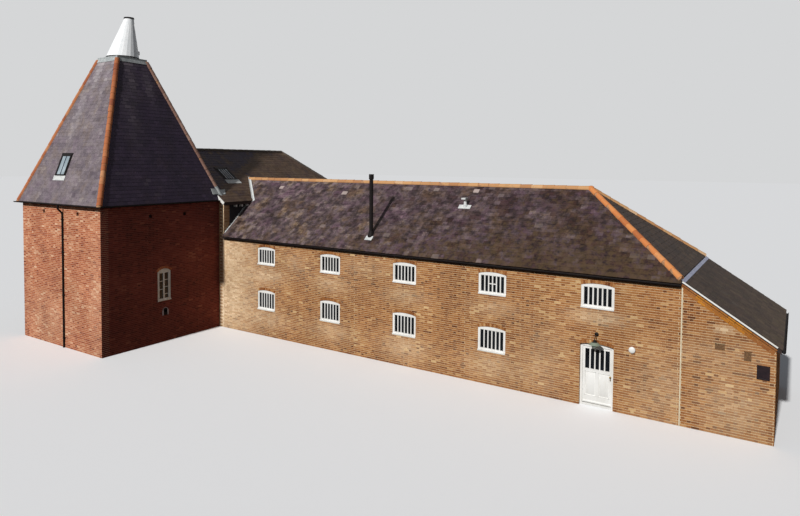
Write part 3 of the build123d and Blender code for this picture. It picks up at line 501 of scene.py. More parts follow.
finishOf = {"range_brick": rangeBed, "kiln_brick": kilnBed, "wing_brick": wingBed, "range_slate": fasciaBoard,
            "kiln_slate": fasciaBoard, "wing_slate": fasciaBoard, "clay_tile": beddingMortar,
            "white_joinery": whitePaint, "cowl_paint": cowlPaint, "glass": paneGlass, "dark_metal": castIron,
            "lead": leadSheet, "oak": oakBoard, "floor_brick": paviour}
for part in frame["record"]["subparts"]:
    node = frame["nodes"][part["node"]]
    node.data.materials.clear()
    node.data.materials.append(finishOf[part["material_slot"]])
# the kiln's right wall takes the mortar of painted shade
for name, material in (("kiln_right_wall", shadyBed), ("door_lamp", lampShade), ("roof_vent", leadPale),
                       # the wing's rooflight glass takes the glass of painted shade
                       ("rooflight_glass", duskGlass)):
    frame["nodes"][name].data.materials[0] = material


rangeSize = dict(length=19.75, depth=5.58, wallTop=4.24, ridge=6.937, pitch=42.0, reach=0.09, hipRun=3.5)
leanSize = dict(width=2.45, top=4.24, pitch=32.5, reach=0.12, slab=0.1423, verge=0.045)
wingSize = dict(width=6.56, depth=9.3, wallTop=5.89, ridge=8.399, pitch=35.5, reach=0.2, eave=9.4256,
                ridgeEnd=7.24)
kilnSize = dict(side=5.9, x=-3.28, y=-2.95, wallTop=5.93, foot=5.94, footHalf=3.12, top=12.3, topHalf=0.735,
                windowWidth=0.66, windowSill=1.78, windowHeight=1.26, windowRise=0.13, windowAt=2.88,
                vent=0.075, frontVents=(1.76, 4.32), frontVentFoot=5.55, sideVents=(2.24, 3.96),
                sideVentFoot=5.39)
length, depth, reach, ridge = (rangeSize[key] for key in ("length", "depth", "reach", "ridge"))
wingWidth, wingReach, wingEave, wingTop = (wingSize[key] for key in ("width", "reach", "eave", "wallTop"))
leanWidth, leanTop, kilnSide = leanSize["width"], leanSize["top"] - 0.005, kilnSize["side"]
bays, storeys, half = windows["bays"], windows["storeys"], windows["width"] / 2
frontFace = facing((0, 0, 0), 0)
backFace = facing((length, depth, 0), 180)
leanFrontFace = facing((length, 0, 0), 0)
leanBackFace = facing((length + leanWidth, depth, 0), 180)
leanEndFace = facing((length + leanWidth, 0, 0), 90)
wingRightFace = facing((0, 0, 0), 90)
wingBackFace = facing((0, wingSize["depth"], 0), 180)
wingLeftFace = facing((-wingWidth, wingSize["depth"], 0), 270)
wingFrontFace = facing((-wingWidth, 0, 0), 0)
kilnFrontFace = facing((kilnSize["x"] - kilnSide / 2, -kilnSide, 0), 0)
kilnRightFace = facing((kilnSize["x"] + kilnSide / 2, -kilnSide, 0), 90)
kilnLeftFace = facing((kilnSize["x"] - kilnSide / 2, 0, 0), 270)
rangeFall, wingFall, leanFall = (math.tan(math.radians(size["pitch"]))
                                 for size in (rangeSize, wingSize, leanSize))


def windowHoles(middles):
    # the two storeys of window openings in a wall, up to the crown of their arches
    return [(m - half, m + half, sill, sill + height + windows["rise"])
            for m in middles for sill, height in storeys]


def ventHoles(middles, foot):
    # the kiln's small square holes, side by side
    vent = kilnSize["vent"]
    return [(u - vent, u + vent, foot, foot + 2 * vent) for u in middles]


def blots(*spots):
    # lime bloom and patching: the sum of soft spots (u, v, half width, half height, strength), each of which
    # fades as e to minus the square of the distance from its middle
    def wear(u, v):
        total = np.zeros(len(u))
        for su, sv, ru, rv, strength in spots:
            total += strength * np.exp(-((u - su) / ru) ** 2 - ((v - sv) / rv) ** 2)
        return np.clip(total, 0, 1)
    return wear


def levelAt(height):
    # a limit that stays the same along the wall or up the slope
    return lambda u: 0 * u + height


def rangeHeight(y):
    # the range's slates above a distance y behind its front wall
    return ridge - np.abs(depth / 2 - y) * rangeFall


def beyondRange(y):
    # the foot of the wing's right wall: on the range's roof, and at the ground behind it
    return np.where(y < depth + 0.06, rangeHeight(y), 0)


def onlyPier(y):
    # brick shows on the pier at the front corner and behind the range's ridge
    return np.where((y > 0.36) & (y < depth / 2), -1.0, wingTop)


def kilnStrips(u):
    # the wing's front shows in two strips beside the kiln, up to the slope of its roof
    fromEdge = np.minimum(u, wingWidth - u)
    return np.where(fromEdge < (wingWidth - kilnSide) / 2 + 0.001, wingTop + fromEdge * wingFall, -1.0)


frontHoles = windowHoles(bays[:-1]) + windowHoles(bays[-1:])[1:]  # the door takes the last bay's lower window
frontHoles.append((door["middle"] - door["width"] / 2, door["middle"] + door["width"] / 2, -1,
                   door["head"] + windows["rise"]))
kilnWindow, kilnHalf, kilnSill = kilnSize["windowAt"], kilnSize["windowWidth"] / 2, kilnSize["windowSill"]
kilnHead = kilnSill + kilnSize["windowHeight"]
kilnHoles = [(kilnWindow - kilnHalf, kilnWindow + kilnHalf, kilnSill, kilnHead + kilnSize["windowRise"])]
kilnHoles += ventHoles(kilnSize["sideVents"], kilnSize["sideVentFoot"])
wingLeftBays = [wingSize["depth"] - y for y in (2.4, wingSize["depth"] - 2.4)]
wingBackBays = (wingWidth / 2 - 1.5, wingWidth / 2 + 1.5)
wingRightBay = (depth + wingSize["depth"]) / 2
frontWear = blots((0.2, 2.4, 1.9, 3.0, 0.95), (2.9, 2.75, 0.9, 0.3, 0.5), (6.4, 2.75, 0.9, 0.32, 0.45),
                  (10.0, 2.7, 0.9, 0.3, 0.4), (13.7, 2.75, 0.8, 0.3, 0.35), (17.3, 2.92, 0.75, 0.22, 0.75),
                  (2.9, 0.8, 1.2, 0.4, 0.4), (6.4, 0.8, 1.1, 0.4, 0.4), (10.0, 0.7, 1.1, 0.5, 0.4),
                  (13.7, 0.7, 1.1, 0.5, 0.4), (15.6, 1.2, 0.8, 1.2, 0.25), (19.2, 1.0, 0.9, 1.2, 0.3),
                  (8.2, 3.6, 1.2, 0.4, 0.25), (4.5, 3.4, 0.8, 0.5, 0.25))
backWear = blots(*[(length - bay, level, 0.9, 0.3, 0.4) for bay in bays for level in (0.8, 2.8)])
leanWear = blots((1.14, 3.08, 0.22, 0.1, 1.0), (1.5, 0.8, 0.9, 0.9, 0.4), (1.0, 2.3, 1.2, 0.5, 0.25))
kilnWear = blots((5.6, 2.0, 0.5, 2.5, 0.2), (2.0, 1.0, 2.0, 1.0, 0.2))
# painted light: the wing's front strips beside the kiln are paled with lime bloom over the kiln's cast
# shadow, so that they read as sunlit
stripWear = blots((0.16, 3, 0.5, 9, 1.4), (wingWidth - 0.16, 3, 0.5, 9, 1.4))

buff, red, shady, pale = ((rangeBrick, "range_brick"), (kilnBrick, "kiln_brick"), (shadyBrick, "kiln_brick"),
                          (wingBrick, "wing_brick"))
for seed, (name, face, width, top, brick, extra) in enumerate((
        ("rangeFront", frontFace, length, levelAt(rangeSize["wallTop"]), buff,
         dict(holes=frontHoles, wear=frontWear)),
        ("rangeBack", backFace, length, levelAt(rangeSize["wallTop"]), buff,
         dict(holes=windowHoles([length - bay for bay in bays]), wear=backWear)),
        ("leanToFront", leanFrontFace, leanWidth, lambda u: leanTop - u * leanFall, buff,
         dict(tone=(0.46, 0.17), wear=leanWear)),
        ("leanToBack", leanBackFace, leanWidth, lambda u: leanTop - (leanWidth - u) * leanFall, buff, {}),
        ("leanToEnd", leanEndFace, depth, levelAt(leanTop - leanWidth * leanFall), buff, {}),
        ("kilnFront", kilnFrontFace, kilnSide, levelAt(kilnSize["wallTop"]), red,
         dict(holes=ventHoles(kilnSize["frontVents"], kilnSize["frontVentFoot"]), wear=kilnWear,
              tone=(0.6, 0.17))),
        # the kiln's right wall takes the bricks of painted shade
        ("kilnRight", kilnRightFace, kilnSide, levelAt(kilnSize["wallTop"]), shady, dict(holes=kilnHoles)),
        ("kilnLeft", kilnLeftFace, kilnSide, levelAt(kilnSize["wallTop"]), red,
         dict(holes=[(kilnSide - b, kilnSide - a, c, d) for a, b, c, d in kilnHoles])),
        ("wingFront", wingFrontFace, wingWidth, kilnStrips, pale, dict(wear=stripWear)),
        ("wingRight", wingRightFace, wingSize["depth"], onlyPier, pale,
         dict(foot=beyondRange, holes=windowHoles([wingRightBay]))),
        ("wingBack", wingBackFace, wingWidth, levelAt(wingTop), pale, dict(holes=windowHoles(wingBackBays))),
        ("wingLeft", wingLeftFace, wingSize["depth"], levelAt(wingTop), pale,
         dict(holes=windowHoles(wingLeftBays)))),
        11):
    brickSkin(name + "Bricks", face, width, top, *brick, seed, **extra)
print("facing bricks:", countOf("Bricks"))

openings = []  # wall, face, middle, sill, height and seed of each window
for sill, height in storeys:
    for i, bay in enumerate(bays):
        if bay != door["middle"] or sill > door["head"]:
            openings.append(("front", frontFace, bay, sill, height, 30 + i))
        openings.append(("back", backFace, length - bay, sill, height, 40 + i))
    openings.append(("wing", wingRightFace, wingRightBay, sill, height, 50))
    openings += [("wing", wingBackFace, u, sill, height, 50) for u in wingBackBays]
    openings += [("wing", wingLeftFace, u, sill, height, 50) for u in wingLeftBays]
kilnPlaces = ((kilnRightFace, kilnWindow), (kilnLeftFace, kilnSide - kilnWindow))
rangeArches, wingArches = [], []
for wall, face, u, sill, height, seed in openings:
    arches = wingArches if wall == "wing" else rangeArches
    arches.append(archRing(face, u, sill + height, windows["width"], windows["rise"], seed))
rangeArches.append(archRing(frontFace, door["middle"], door["head"], door["width"], windows["rise"], 60))
kilnArches = [archRing(face, u, kilnHead, kilnSize["windowWidth"], kilnSize["windowRise"], 61, count=9)
              for face, u in kilnPlaces]
for name, arches, (material, slot) in (("range", rangeArches, buff), ("wing", wingArches, pale),
                                       ("kiln", kilnArches, red)):
    addPiece(name + "Arches", gather(*arches), material)
print("arches turned")


slating = dict(width=0.255, wander=0.035, gap=0.001, thick=0.007, lap=0.06, tail=0.015, head=0.007)


def slateSlope(name, face, rise, left, right, material, slot, seed, gauge=0.205, start=-0.03, holes=(),
               foot=None, uneven=0.003, middle=lambda u, v: 0.5, tone=0.2, wear=None):
    # rows of slates up a slope; each lies from its tail to its head, tilted on the row below,
    # and is cut to the limits left(v) and right(v) of its slope
    s = slating
    pick = np.random.default_rng(seed)
    rows = np.arange(int(math.ceil((rise - start) / gauge)))
    line = np.linspace(start, rise, 40)
    low, high = np.min(left(line)), np.max(right(line))
    k = np.arange(-1, int((high - low) / s["width"]) + 3)
    joints = low + (k[None, :] + 0.5 * (rows[:, None] % 2)) * s["width"]
    joints = joints + pick.uniform(-1, 1, joints.shape) * s["wander"]
    v0 = np.broadcast_to(start + rows[:, None] * gauge, joints[:, 1:].shape)
    cells = np.stack([joints[:, :-1] + s["gap"] / 2, joints[:, 1:] - s["gap"] / 2, v0,
                      np.minimum(v0 + gauge + s["lap"], rise)], -1).reshape(-1, 4)
    u0, u1, v0, v1 = cutOut(cells, holes).T
    slip = uneven * pick.uniform(-1, 1, len(u0)) * 1.5
    tailLeft, tailRight = np.maximum(u0, left(v0)), np.minimum(u1, right(v0))
    headLeft, headRight = np.maximum(u0, left(v1)), np.minimum(u1, right(v1))
    keep = ((tailRight - tailLeft > 0.03) | (headRight - headLeft > 0.03)) & (v1 - v0 > 0.03)
    if foot:
        keep &= v1 > foot((u0 + u1) / 2)
    tailRight, headRight = np.maximum(tailRight, tailLeft + 0.004), np.maximum(headRight, headLeft + 0.004)
    outline = quads((tailLeft, v0 + slip), (tailRight, v0 + slip), (headRight, v1), (headLeft, v1))[keep]
    n = len(outline)
    u, v = ((u0 + u1) / 2)[keep], v0[keep]
    front = np.tile([s["tail"], s["tail"], s["head"], s["head"]], (n, 1))
    front[:, :2] += uneven * pick.uniform(-0.6, 1, (n, 2))
    shade = middle(u, v) + tone * pick.normal(size=n)
    shade = shade + 0.10 * drift(u, v, seed, 2.2) + 0.10 * drift(u, v, seed + 1, 0.9)
    worn = np.where(pick.uniform(size=n) > 0.99, pick.uniform(0.04, 0.16, n), 0)
    if wear:
        worn = np.maximum(worn, wear(u, v) * pick.uniform(0.3, 1.2, n))
    shape = plates(face, outline, front - s["thick"], front, np.clip(shade, 0.01, 0.99), np.clip(worn, 0, 1))
    addPiece(name + "Slates", shape, material)


(cosRange, sinRange), (cosWing, sinWing), (cosLean, sinLean) = (
    (math.cos(math.radians(size["pitch"])), math.sin(math.radians(size["pitch"])))
    for size in (rangeSize, wingSize, leanSize))
rangeSlope = (depth / 2 + reach) / cosRange
rangeEaveHeight = ridge - (depth / 2 + reach) * rangeFall
wingHalf = wingWidth / 2 + wingReach
wingEaveHeight = wingSize["ridge"] - wingHalf * wingFall
wallLine = rangeHeight(0.0)


def valleyX(v):
    # where the range's slates stop: at the wing's wall, then its eave, then up its slates
    z = rangeEaveHeight + v * sinRange
    onWing = wingWidth / -2 + (wingSize["ridge"] - z) / wingFall
    soffit = wingTop - 0.15
    return np.where(z < soffit, 0.0, np.where(z < wingEaveHeight, wingReach, onWing))


def rangeHipX(v):
    # how far the hip has come in from the range's end at a height up the slope
    return np.maximum(0, (v * cosRange - reach) * (rangeSize["hipRun"] / (depth / 2)))


def rangeShade(u, v):
    # the range's front slope darkens from its left end to its right, most of all low down
    return 0.71 - 0.47 * np.clip((u - 4) / 12, 0, 1) * (1 - 0.4 * np.clip(v / rangeSlope, 0, 1))


def paleSlates(u, v):
    # single pale slates where the photograph shows them
    spots = ((1.35, 3.33), (4.31, 2.27), (5.49, 1.13), (8.71, 3.56), (10.03, 3.56), (11.76, 3.57),
             (5.37, 3.1))
    near = [(np.abs(u - su) < 0.13) & (np.abs(v + 0.1 - sv) < 0.11) for su, sv in spots]
    return np.any(near, axis=0) * 0.55


overGutter = dict(start=-0.075, uneven=0.004, tone=0.13)
rangeSlopeFace = facing((0, -reach, rangeEaveHeight), 0, rangeSize["pitch"])
rangeBackSlope = facing((length, depth + reach, rangeEaveHeight), 180, rangeSize["pitch"])
slateSlope("rangeFront", rangeSlopeFace, rangeSlope, valleyX, lambda v: length - rangeHipX(v), rangeSlate,
           "range_slate", 71, middle=rangeShade, wear=paleSlates, **overGutter)
slateSlope("rangeBack", rangeBackSlope, rangeSlope, rangeHipX, lambda v: length - valleyX(v), rangeSlate,
           "range_slate", 72, **overGutter)
hipPitch = math.degrees(math.atan((ridge - wallLine) / rangeSize["hipRun"]))
hipLength = rangeSize["hipRun"] / math.cos(math.radians(hipPitch))
# the hip end: dark slate at a low tone, painted shade
slateSlope("rangeHip", facing((length, 0, wallLine), 90, hipPitch), hipLength,
           lambda v: v / hipLength * depth / 2, lambda v: depth * (1 - v / hipLength / 2), darkSlate,
           "range_slate", 73, start=0.0, middle=lambda u, v: 0.32, tone=0.14)
leanRun = leanWidth + leanSize["reach"]
leanFoot = leanSize["top"] + leanSize["slab"] - leanRun * leanFall
leanSlope = facing((length + leanRun, -leanSize["verge"], leanFoot), 90, leanSize["pitch"])
leanLength = leanRun / cosLean
slateSlope("leanTo", leanSlope, leanLength, levelAt(-0.02), levelAt(depth + 0.11), darkSlate, "range_slate",
           74, middle=lambda u, v: 0.72 - 0.17 * v, tone=0.12)

kilnFoot = kilnSize["footHalf"]
kilnPitch = math.atan((kilnSize["top"] - kilnSize["foot"]) / (kilnFoot - kilnSize["topHalf"]))
cosKiln, sinKiln = math.cos(kilnPitch), math.sin(kilnPitch)
kilnLength = (kilnSize["top"] - kilnSize["foot"]) / sinKiln
kilnLight = (2.73, 1.752)  # the kiln rooflight's middle on the front slope
wingLight = (1.51, (7.16 - wingEaveHeight) / sinWing)  # and the wing's, on its right slope


def kilnSlope(turn):
    # the face of one of the kiln's four roof slopes, from its lower left corner
    a = math.radians(turn)
    across, inward = np.array([math.cos(a), math.sin(a), 0]), np.array([-math.sin(a), math.cos(a), 0])
    return facing(np.array([kilnSize["x"], kilnSize["y"], kilnSize["foot"]]) - kilnFoot * (across + inward),
                  turn, math.degrees(kilnPitch))


def lightHole(u, v):
    # what a rooflight takes out of the slates
    return [(u - 0.36, u + 0.36, v - 0.49, v + 0.49)]


def overWing(u):
    # on the kiln's back slope, the height where it comes clear of the wing's roof
    return (wingSize["ridge"] - wingFall * np.abs(u - kilnFoot) - kilnSize["foot"]) / sinKiln


limeRuns = blots((kilnFoot - 0.3, 6.3, 0.25, 1.1, 0.5), (kilnFoot + 0.5, 5.6, 0.2, 0.9, 0.35),
                 (kilnFoot - 0.75, 4.0, 0.3, 1.2, 0.3), (kilnFoot, 6.8, 1.2, 0.3, 0.6))
# the right slope takes the slate of painted shade
for side, turn, slate, extra in (("Front", 0, kilnSlate, dict(holes=lightHole(*kilnLight))),
                                 ("Right", 90, shadySlate, {}), ("Back", 180, kilnSlate, dict(foot=overWing)),
                                 ("Left", 270, kilnSlate, {})):
    slateSlope("kiln" + side, kilnSlope(turn), kilnLength, lambda v: v * cosKiln,
               lambda v: 2 * kilnFoot - v * cosKiln, slate, "kiln_slate", 80 + turn, gauge=0.16, start=0.066,
               uneven=0.0012, tone=0.10, wear=limeRuns, **extra)

wingLength = wingHalf / cosWing
wingHipRun = wingEave - wingSize["ridgeEnd"]


def besideKiln(u, v):
    # the wing's right slope: painted shadow of the kiln; slates inside the line of its cast shadow go to a
    # low, dark blue tone
    return 0.5 - 0.42 * np.clip((1.508 * v - 0.98 - u) / 0.3 + 0.5, 0, 1)


def atKiln(v):
    # where the wing's slates meet the kiln's back slope, or end at the verge beside it
    z, fromMiddle = wingEaveHeight + v * sinWing, wingHalf - v * cosWing
    kilnRise, vergeFrom, vergeAt = 2.6667, 2.975, -0.12
    onKiln = kilnSize["y"] + kilnFoot - (z - kilnSize["foot"]) / kilnRise
    return np.where(fromMiddle > vergeFrom, vergeAt, onKiln)


wingSlope = facing((wingReach, 0, wingEaveHeight), 90, wingSize["pitch"])
wingLeftSlope = facing((-wingWidth - wingReach, wingEave, wingEaveHeight), 270, wingSize["pitch"])
hipShift = cosWing * (wingHipRun / wingHalf)
# the right slope's tone carries the painted shadow of the kiln
slateSlope("wingRight", wingSlope, wingLength, atKiln, lambda v: wingEave - np.maximum(v, 0) * hipShift,
           wingSlate, "wing_slate", 91, tone=0.08, middle=besideKiln, holes=lightHole(*wingLight))
slateSlope("wingLeft", wingLeftSlope, wingLength, lambda v: v * hipShift, lambda v: wingEave - atKiln(v),
           wingSlate, "wing_slate", 92, start=0.024, tone=0.15)
wingHipPitch = math.degrees(math.atan((wingSize["ridge"] - wingEaveHeight) / wingHipRun))
wingHipLength = wingHipRun / math.cos(math.radians(wingHipPitch))
slateSlope("wingHip", facing((wingReach, wingEave, wingEaveHeight), 180, wingHipPitch), wingHipLength,
           lambda v: v / wingHipLength * wingHalf, lambda v: 2 * wingHalf * (1 - v / wingHipLength / 2),
           wingSlate, "wing_slate", 93, start=0.03, tone=0.15)
print("slates:", countOf("Slates"))


def tileRun(start, end, radius, tileLength, seed, lift=0.002, rough=0.005, spread=105):
    # half-round tiles end to end along a line; each is an arch of outer and inner radius, wider at its
    # lower end so that it covers the next
    start, end = np.array(start, float), np.array(end, float)
    total = np.linalg.norm(end - start)
    count = max(1, int(round(total / tileLength)))
    run = (end - start) / total
    side = np.cross(run, (0, 0, 1))
    side /= np.linalg.norm(side)
    rise = np.cross(side, run)
    pick = np.random.default_rng(seed)
    a = np.radians(np.linspace(-spread, spread, 10))
    m = len(a)
    step = total / count
    i = np.arange(count)[:, None, None, None]
    down = np.array([0.004, step + 0.018])[None, :, None, None] + i * step
    r = radius * (1 + pick.uniform(-1, 1, (count, 1, 1, 1)) * 0.03)
    r = r * np.array([1.05, 0.955])[None, :, None, None] - np.array([0.0, 0.017])[None, None, :, None]
    sway = rough * pick.uniform(-1, 1, (count, 2, 1, 1))
    heave = rough * pick.uniform(-0.3, 1, (count, 2, 1, 1)) + lift
    arc = (np.sin(a) * r + sway)[..., None] * side + (np.cos(a) * r + heave)[..., None] * rise
    points = start + down[..., None] * run + arc
    # the points of one tile in order of end, shell and angle: low outer, low inner, high outer, high inner
    e = np.arange(m - 1)
    lowOut, lowIn, highOut, highIn = (e + ring * m for ring in range(4))
    faces = np.concatenate([
        np.stack([lowOut, lowOut + 1, highOut + 1, highOut], -1),
        np.stack([lowIn, highIn, highIn + 1, lowIn + 1], -1),
        np.stack([lowOut, lowIn, lowIn + 1, lowOut + 1], -1),
        np.stack([highOut, highOut + 1, highIn + 1, highIn], -1),
        [[0, 2 * m, 3 * m, m], [m - 1, 2 * m - 1, 4 * m - 1, 3 * m - 1]]])
    faces = (faces[None] + 4 * m * np.arange(count)[:, None, None]).reshape(-1, 4)
    tone = np.clip(pick.normal(0.5, 0.2, count), 0.02, 0.98)
    return points.reshape(-1, 3), faces, np.stack([np.repeat(tone, 4 * m), np.zeros(count * 4 * m)], -1)


tileSize = dict(radius=0.106, sink=0.04)
radius, sink = tileSize["radius"], tileSize["sink"]
ridgeStart = wingWidth / -2 + (wingSize["ridge"] - ridge) / wingFall
peak = np.array([length - rangeSize["hipRun"], depth / 2, ridge - sink])
ridgeTiles = [tileRun(peak, (ridgeStart + 0.05, peak[1], peak[2]), radius, 0.45, 101)]
frontFoot, backFoot = (np.array([length, y, wallLine - sink]) for y in (0.0, depth))
hipBall = turned(peak, [(0, -0.12), (0.08, -0.11), (0.12, -0.04), (0.124, 0.03), (0.10, 0.09), (0.04, 0.122),
                        (0, 0.126)])
frontHip, backHip = (tileRun(foot + (peak - foot) * 0.012, peak, radius, 0.40, seed)
                     for foot, seed in ((frontFoot, 102), (backFoot, 103)))
addPiece("rangeHipTiles", gather(frontHip, hipBall), clayTile)
ridgeTiles.append(backHip)
addPiece("rangeRidgeTiles", gather(*ridgeTiles), ridgeTile)


def hipPoint(x, y, t):
    # a point on the axis of a kiln hip's tiles, t of the way up; x and y are 1 or -1 and name its corner
    first, last = (np.array([kilnSize["x"] + x * out, kilnSize["y"] + y * out, z]) for out, z in (
        (kilnFoot - sink, kilnSize["foot"]), (kilnSize["topHalf"] - sink, kilnSize["top"])))
    return first + (last - first) * t


# the rear hips take the tile of painted shade
for name, y, t, material in (("kilnHipTiles", -1, 0.012, hipTile), ("kilnRearHipTiles", 1, 0.105, sootyTile)):
    addPiece(name, gather(*[tileRun(hipPoint(x, y, t), hipPoint(x, y, 0.99), radius, 0.30, 110 + x + 3 * y)
                            for x in (1, -1)]), material)

darkTile = tileFinish("darkRidgeTile", {0: "#2e2725", 0.5: "#40362f", 1: "#574a3f"}, "#5a503c")
wingMid = wingWidth / -2
peak = np.array([wingMid, wingSize["ridgeEnd"], wingSize["ridge"] - sink])
wingTiles = [tileRun(peak, (wingMid, -0.70, peak[2]), radius, 0.45, 121)]
for side, seed in ((1, 122), (-1, 123)):
    foot = np.array([wingMid + side * wingHalf, wingEave, wingEaveHeight - sink])
    wingTiles.append(tileRun(foot + (peak - foot) * 0.06, peak, radius, 0.42, seed))
addPiece("wingRidgeTiles", gather(*wingTiles), darkTile)
print("ridge and hip tiles bedded")


def windowBars(face, middle, sill, height, cross):
    # five upright bars in a flat-headed light, with a nose on each, beads round it, and on one window
    # a short cross bar over the two middle panes
    w = windows
    clear = w["width"] / 2 - w["member"]
    foot, head = sill + w["foot"], sill + height - w["head"]
    places = middle - clear + 2 * clear / w["slots"] * np.arange(1, w["slots"])
    back, front = -w["setback"] - 0.062, -w["setback"] - 0.006
    full, nose = (rectangles(*[(p - wide, p + wide, foot - 0.003, head + 0.003) for p in places])
                  for wide in (w["bar"] / 2, w["bar"] / 4))
    shapes = [plates(face, full, back, front - 0.012), plates(face, full, front - 0.012, front, top=nose)]
    if cross:
        level = (foot + head) / 2
        rail = [(places[1], places[3], level - 0.016, level + 0.016)]
        shapes.append(boards(face, rail, back, front - 0.006))
    beads = border(middle - clear, middle + clear, foot, head, 0.010)
    return shapes + [boards(face, beads, back, front - 0.004)]


for kind in ("front", "back", "wing"):
    bars = []
    for wall, face, u, sill, height, seed in openings:
        if wall == kind:
            isCrossed = kind == "front" and u == bays[3] and sill > door["head"]
            bars += windowBars(face, u, sill, height, isCrossed)
    addPiece(kind + "WindowBars", gather(*bars), whitePaint)

kilnBars = []
clear = kilnHalf - windows["member"]
foot, head = kilnSill + windows["foot"], kilnHead - windows["head"]
back, front = -windows["setback"] - 0.062, -windows["setback"] - 0.008
for face, middle in kilnPlaces:
    uprights = [(middle - 0.036, middle + 0.036, foot - 0.003, head + 0.003)]
    uprights += [(u - 0.018, u + 0.018, foot, head) for u in (middle - 0.965 * clear, middle + 0.965 * clear)]
    rails = [(start, start + clear, v - 0.012, v + 0.012)
             for start, parts in ((middle - clear, (0.36, 0.68)), (middle, (0.16, 0.44, 0.72)))
             for v in foot + (head - foot) * np.array(parts)]
    kilnBars += [boards(face, uprights, back, front), boards(face, rails, back, front - 0.008)]
addPiece("kilnWindowBars", gather(*kilnBars), whitePaint)
print("window bars set")


leafRear, leafFront = -door["leafBack"], door["leafThick"] - door["leafBack"]  # above the wall's front face
middle, stile, glassSill, glassHead = (door[key] for key in ("middle", "stile", "glassSill", "glassHead"))
leafLeft, leafRight = middle + door["left"], middle + door["right"]
glassLeft, glassRight = leafLeft + stile, leafRight - stile
pane = (glassRight - glassLeft) / 5
doorBars = [(u - 0.021, u + 0.021, glassSill - 0.003, glassHead + 0.003)
            for u in glassLeft + pane * np.arange(1, 5)]
doorBeads = border(glassLeft, glassRight, glassSill, glassHead, 0.014)[2:]
doorShapes = [boards(frontFace, doorBars, leafRear + 0.005, leafFront - 0.003),
              boards(frontFace, doorBeads, leafRear + 0.008, leafFront + 0.004)]
for u0, u1 in ((glassLeft, middle - stile / 2), (middle + stile / 2, glassRight)):
    v0, v1 = door["railTop"], glassSill - stile
    doorShapes.append(boards(frontFace, border(u0, u1, v0, v1, 0.016), leafFront - 0.014, leafFront + 0.003))
    field, flat = (rectangles((u0 + inset, u1 - inset, v0 + inset, v1 - inset)) for inset in (0.035, 0.065))
    doorShapes.append(plates(frontFace, field, leafFront - 0.015, leafFront - 0.001, top=flat))
drip, dripTop = (rectangles((leafLeft + 0.03, leafRight - 0.03, door["low"] + 0.01, door["low"] + high))
                 for high in (0.075, 0.045))
doorShapes.append(plates(frontFace, drip, leafFront - 0.002, leafFront + 0.022, top=dripTop))
addPiece("doorBarsAndPanels", gather(*doorShapes), whitePaint, body="door")

knob = [(0, 0), (0.026, 0), (0.026, 0.006), (0.011, 0.01), (0.009, 0.034), (0.022, 0.044), (0.027, 0.056),
        (0.024, 0.068), (0.012, 0.075), (0, 0.076)]
knobX, knobZ = leafRight - 0.05, 1.03
keyPlate = boards(frontFace, [(knobX - 0.016, knobX + 0.016, knobZ - 0.13, knobZ - 0.07)], leafFront - 0.001,
                  leafFront + 0.003)
addPiece("doorKnobs", gather(turned((knobX, -leafFront, knobZ), knob, axis=(0, -1, 0), steps=20),
                             turned((knobX, -leafRear, knobZ), knob, axis=(0, 1, 0), steps=20), keyPlate),
         brassKnob, body="door")
print("door dressed")


cowlSize = dict(x=-3.28, y=-2.95, z=12.425, base=0.69, top=0.19, height=1.93, lean=0.69, sides=24,
                heading=122, sill=0.69, lintel=1.68, proud=0.008, gap=0.002)


def cowlPoint(angle, z, grow=0.0):
    # a point on the cone's flat-sided surface at an angle from the heading and a height, moved to the kiln
    c = cowlSize
    sector = 2 * np.pi / c["sides"]
    radius = c["base"] + (c["top"] - c["base"]) * z / c["height"] + grow
    radius = radius * np.cos(sector / 2) / np.cos((angle + sector / 2) % sector - sector / 2)
    x, y = c["lean"] * z / c["height"] + radius * np.cos(angle), radius * np.sin(angle)
    h = math.radians(c["heading"])
    return np.stack([c["x"] + x * math.cos(h) - y * math.sin(h), c["y"] + x * math.sin(h) + y * math.cos(h),
                     c["z"] + z + 0 * x], -1)


def cowlBoards():
    # each flat side carries two boards; a board runs from the foot to the rim, or stops at the lee mouth,
    # which is where the straight line from sill to lintel lies inside the cone
    c = cowlSize
    lean, taper = c["lean"] / c["height"], (c["base"] - c["top"]) / c["height"]
    mouth = c["lintel"] - c["sill"]
    line = (lean * mouth - c["top"]) / mouth
    heights = np.linspace(c["sill"], c["lintel"], 90)
    foot, rim, clear = 0.006, c["height"] - 0.012, 0.004
    shapes = []
    for i in range(2 * c["sides"]):
        a0, a1 = i * np.pi / c["sides"], (i + 1) * np.pi / c["sides"]
        cosine = math.cos((a0 + a1) / 2)
        start = c["base"] * cosine - lean * c["sill"] - c["top"] + c["sill"] * line
        isOpen = start + (lean - line - taper * cosine) * heights > 0.002
        spans = [(foot, rim)]
        if isOpen.any():
            spans = [(foot, heights[isOpen][0] - clear), (heights[isOpen][-1] + clear, rim)]
        for z0, z1 in spans:
            if z1 - z0 < 0.03:
                continue
            z = np.array([z0, z0, z1, z1])
            gap = c["gap"] / 2 / (c["base"] - taper * z)
            a = np.array([a0, a1, a1, a0]) + np.array([1, -1, -1, 1]) * gap
            points = np.concatenate([cowlPoint(a, z, -0.004), cowlPoint(a, z, c["proud"])])
            shapes.append((points, blockFaces, np.full((8, 2), 0.5)))
    return gather(*shapes)


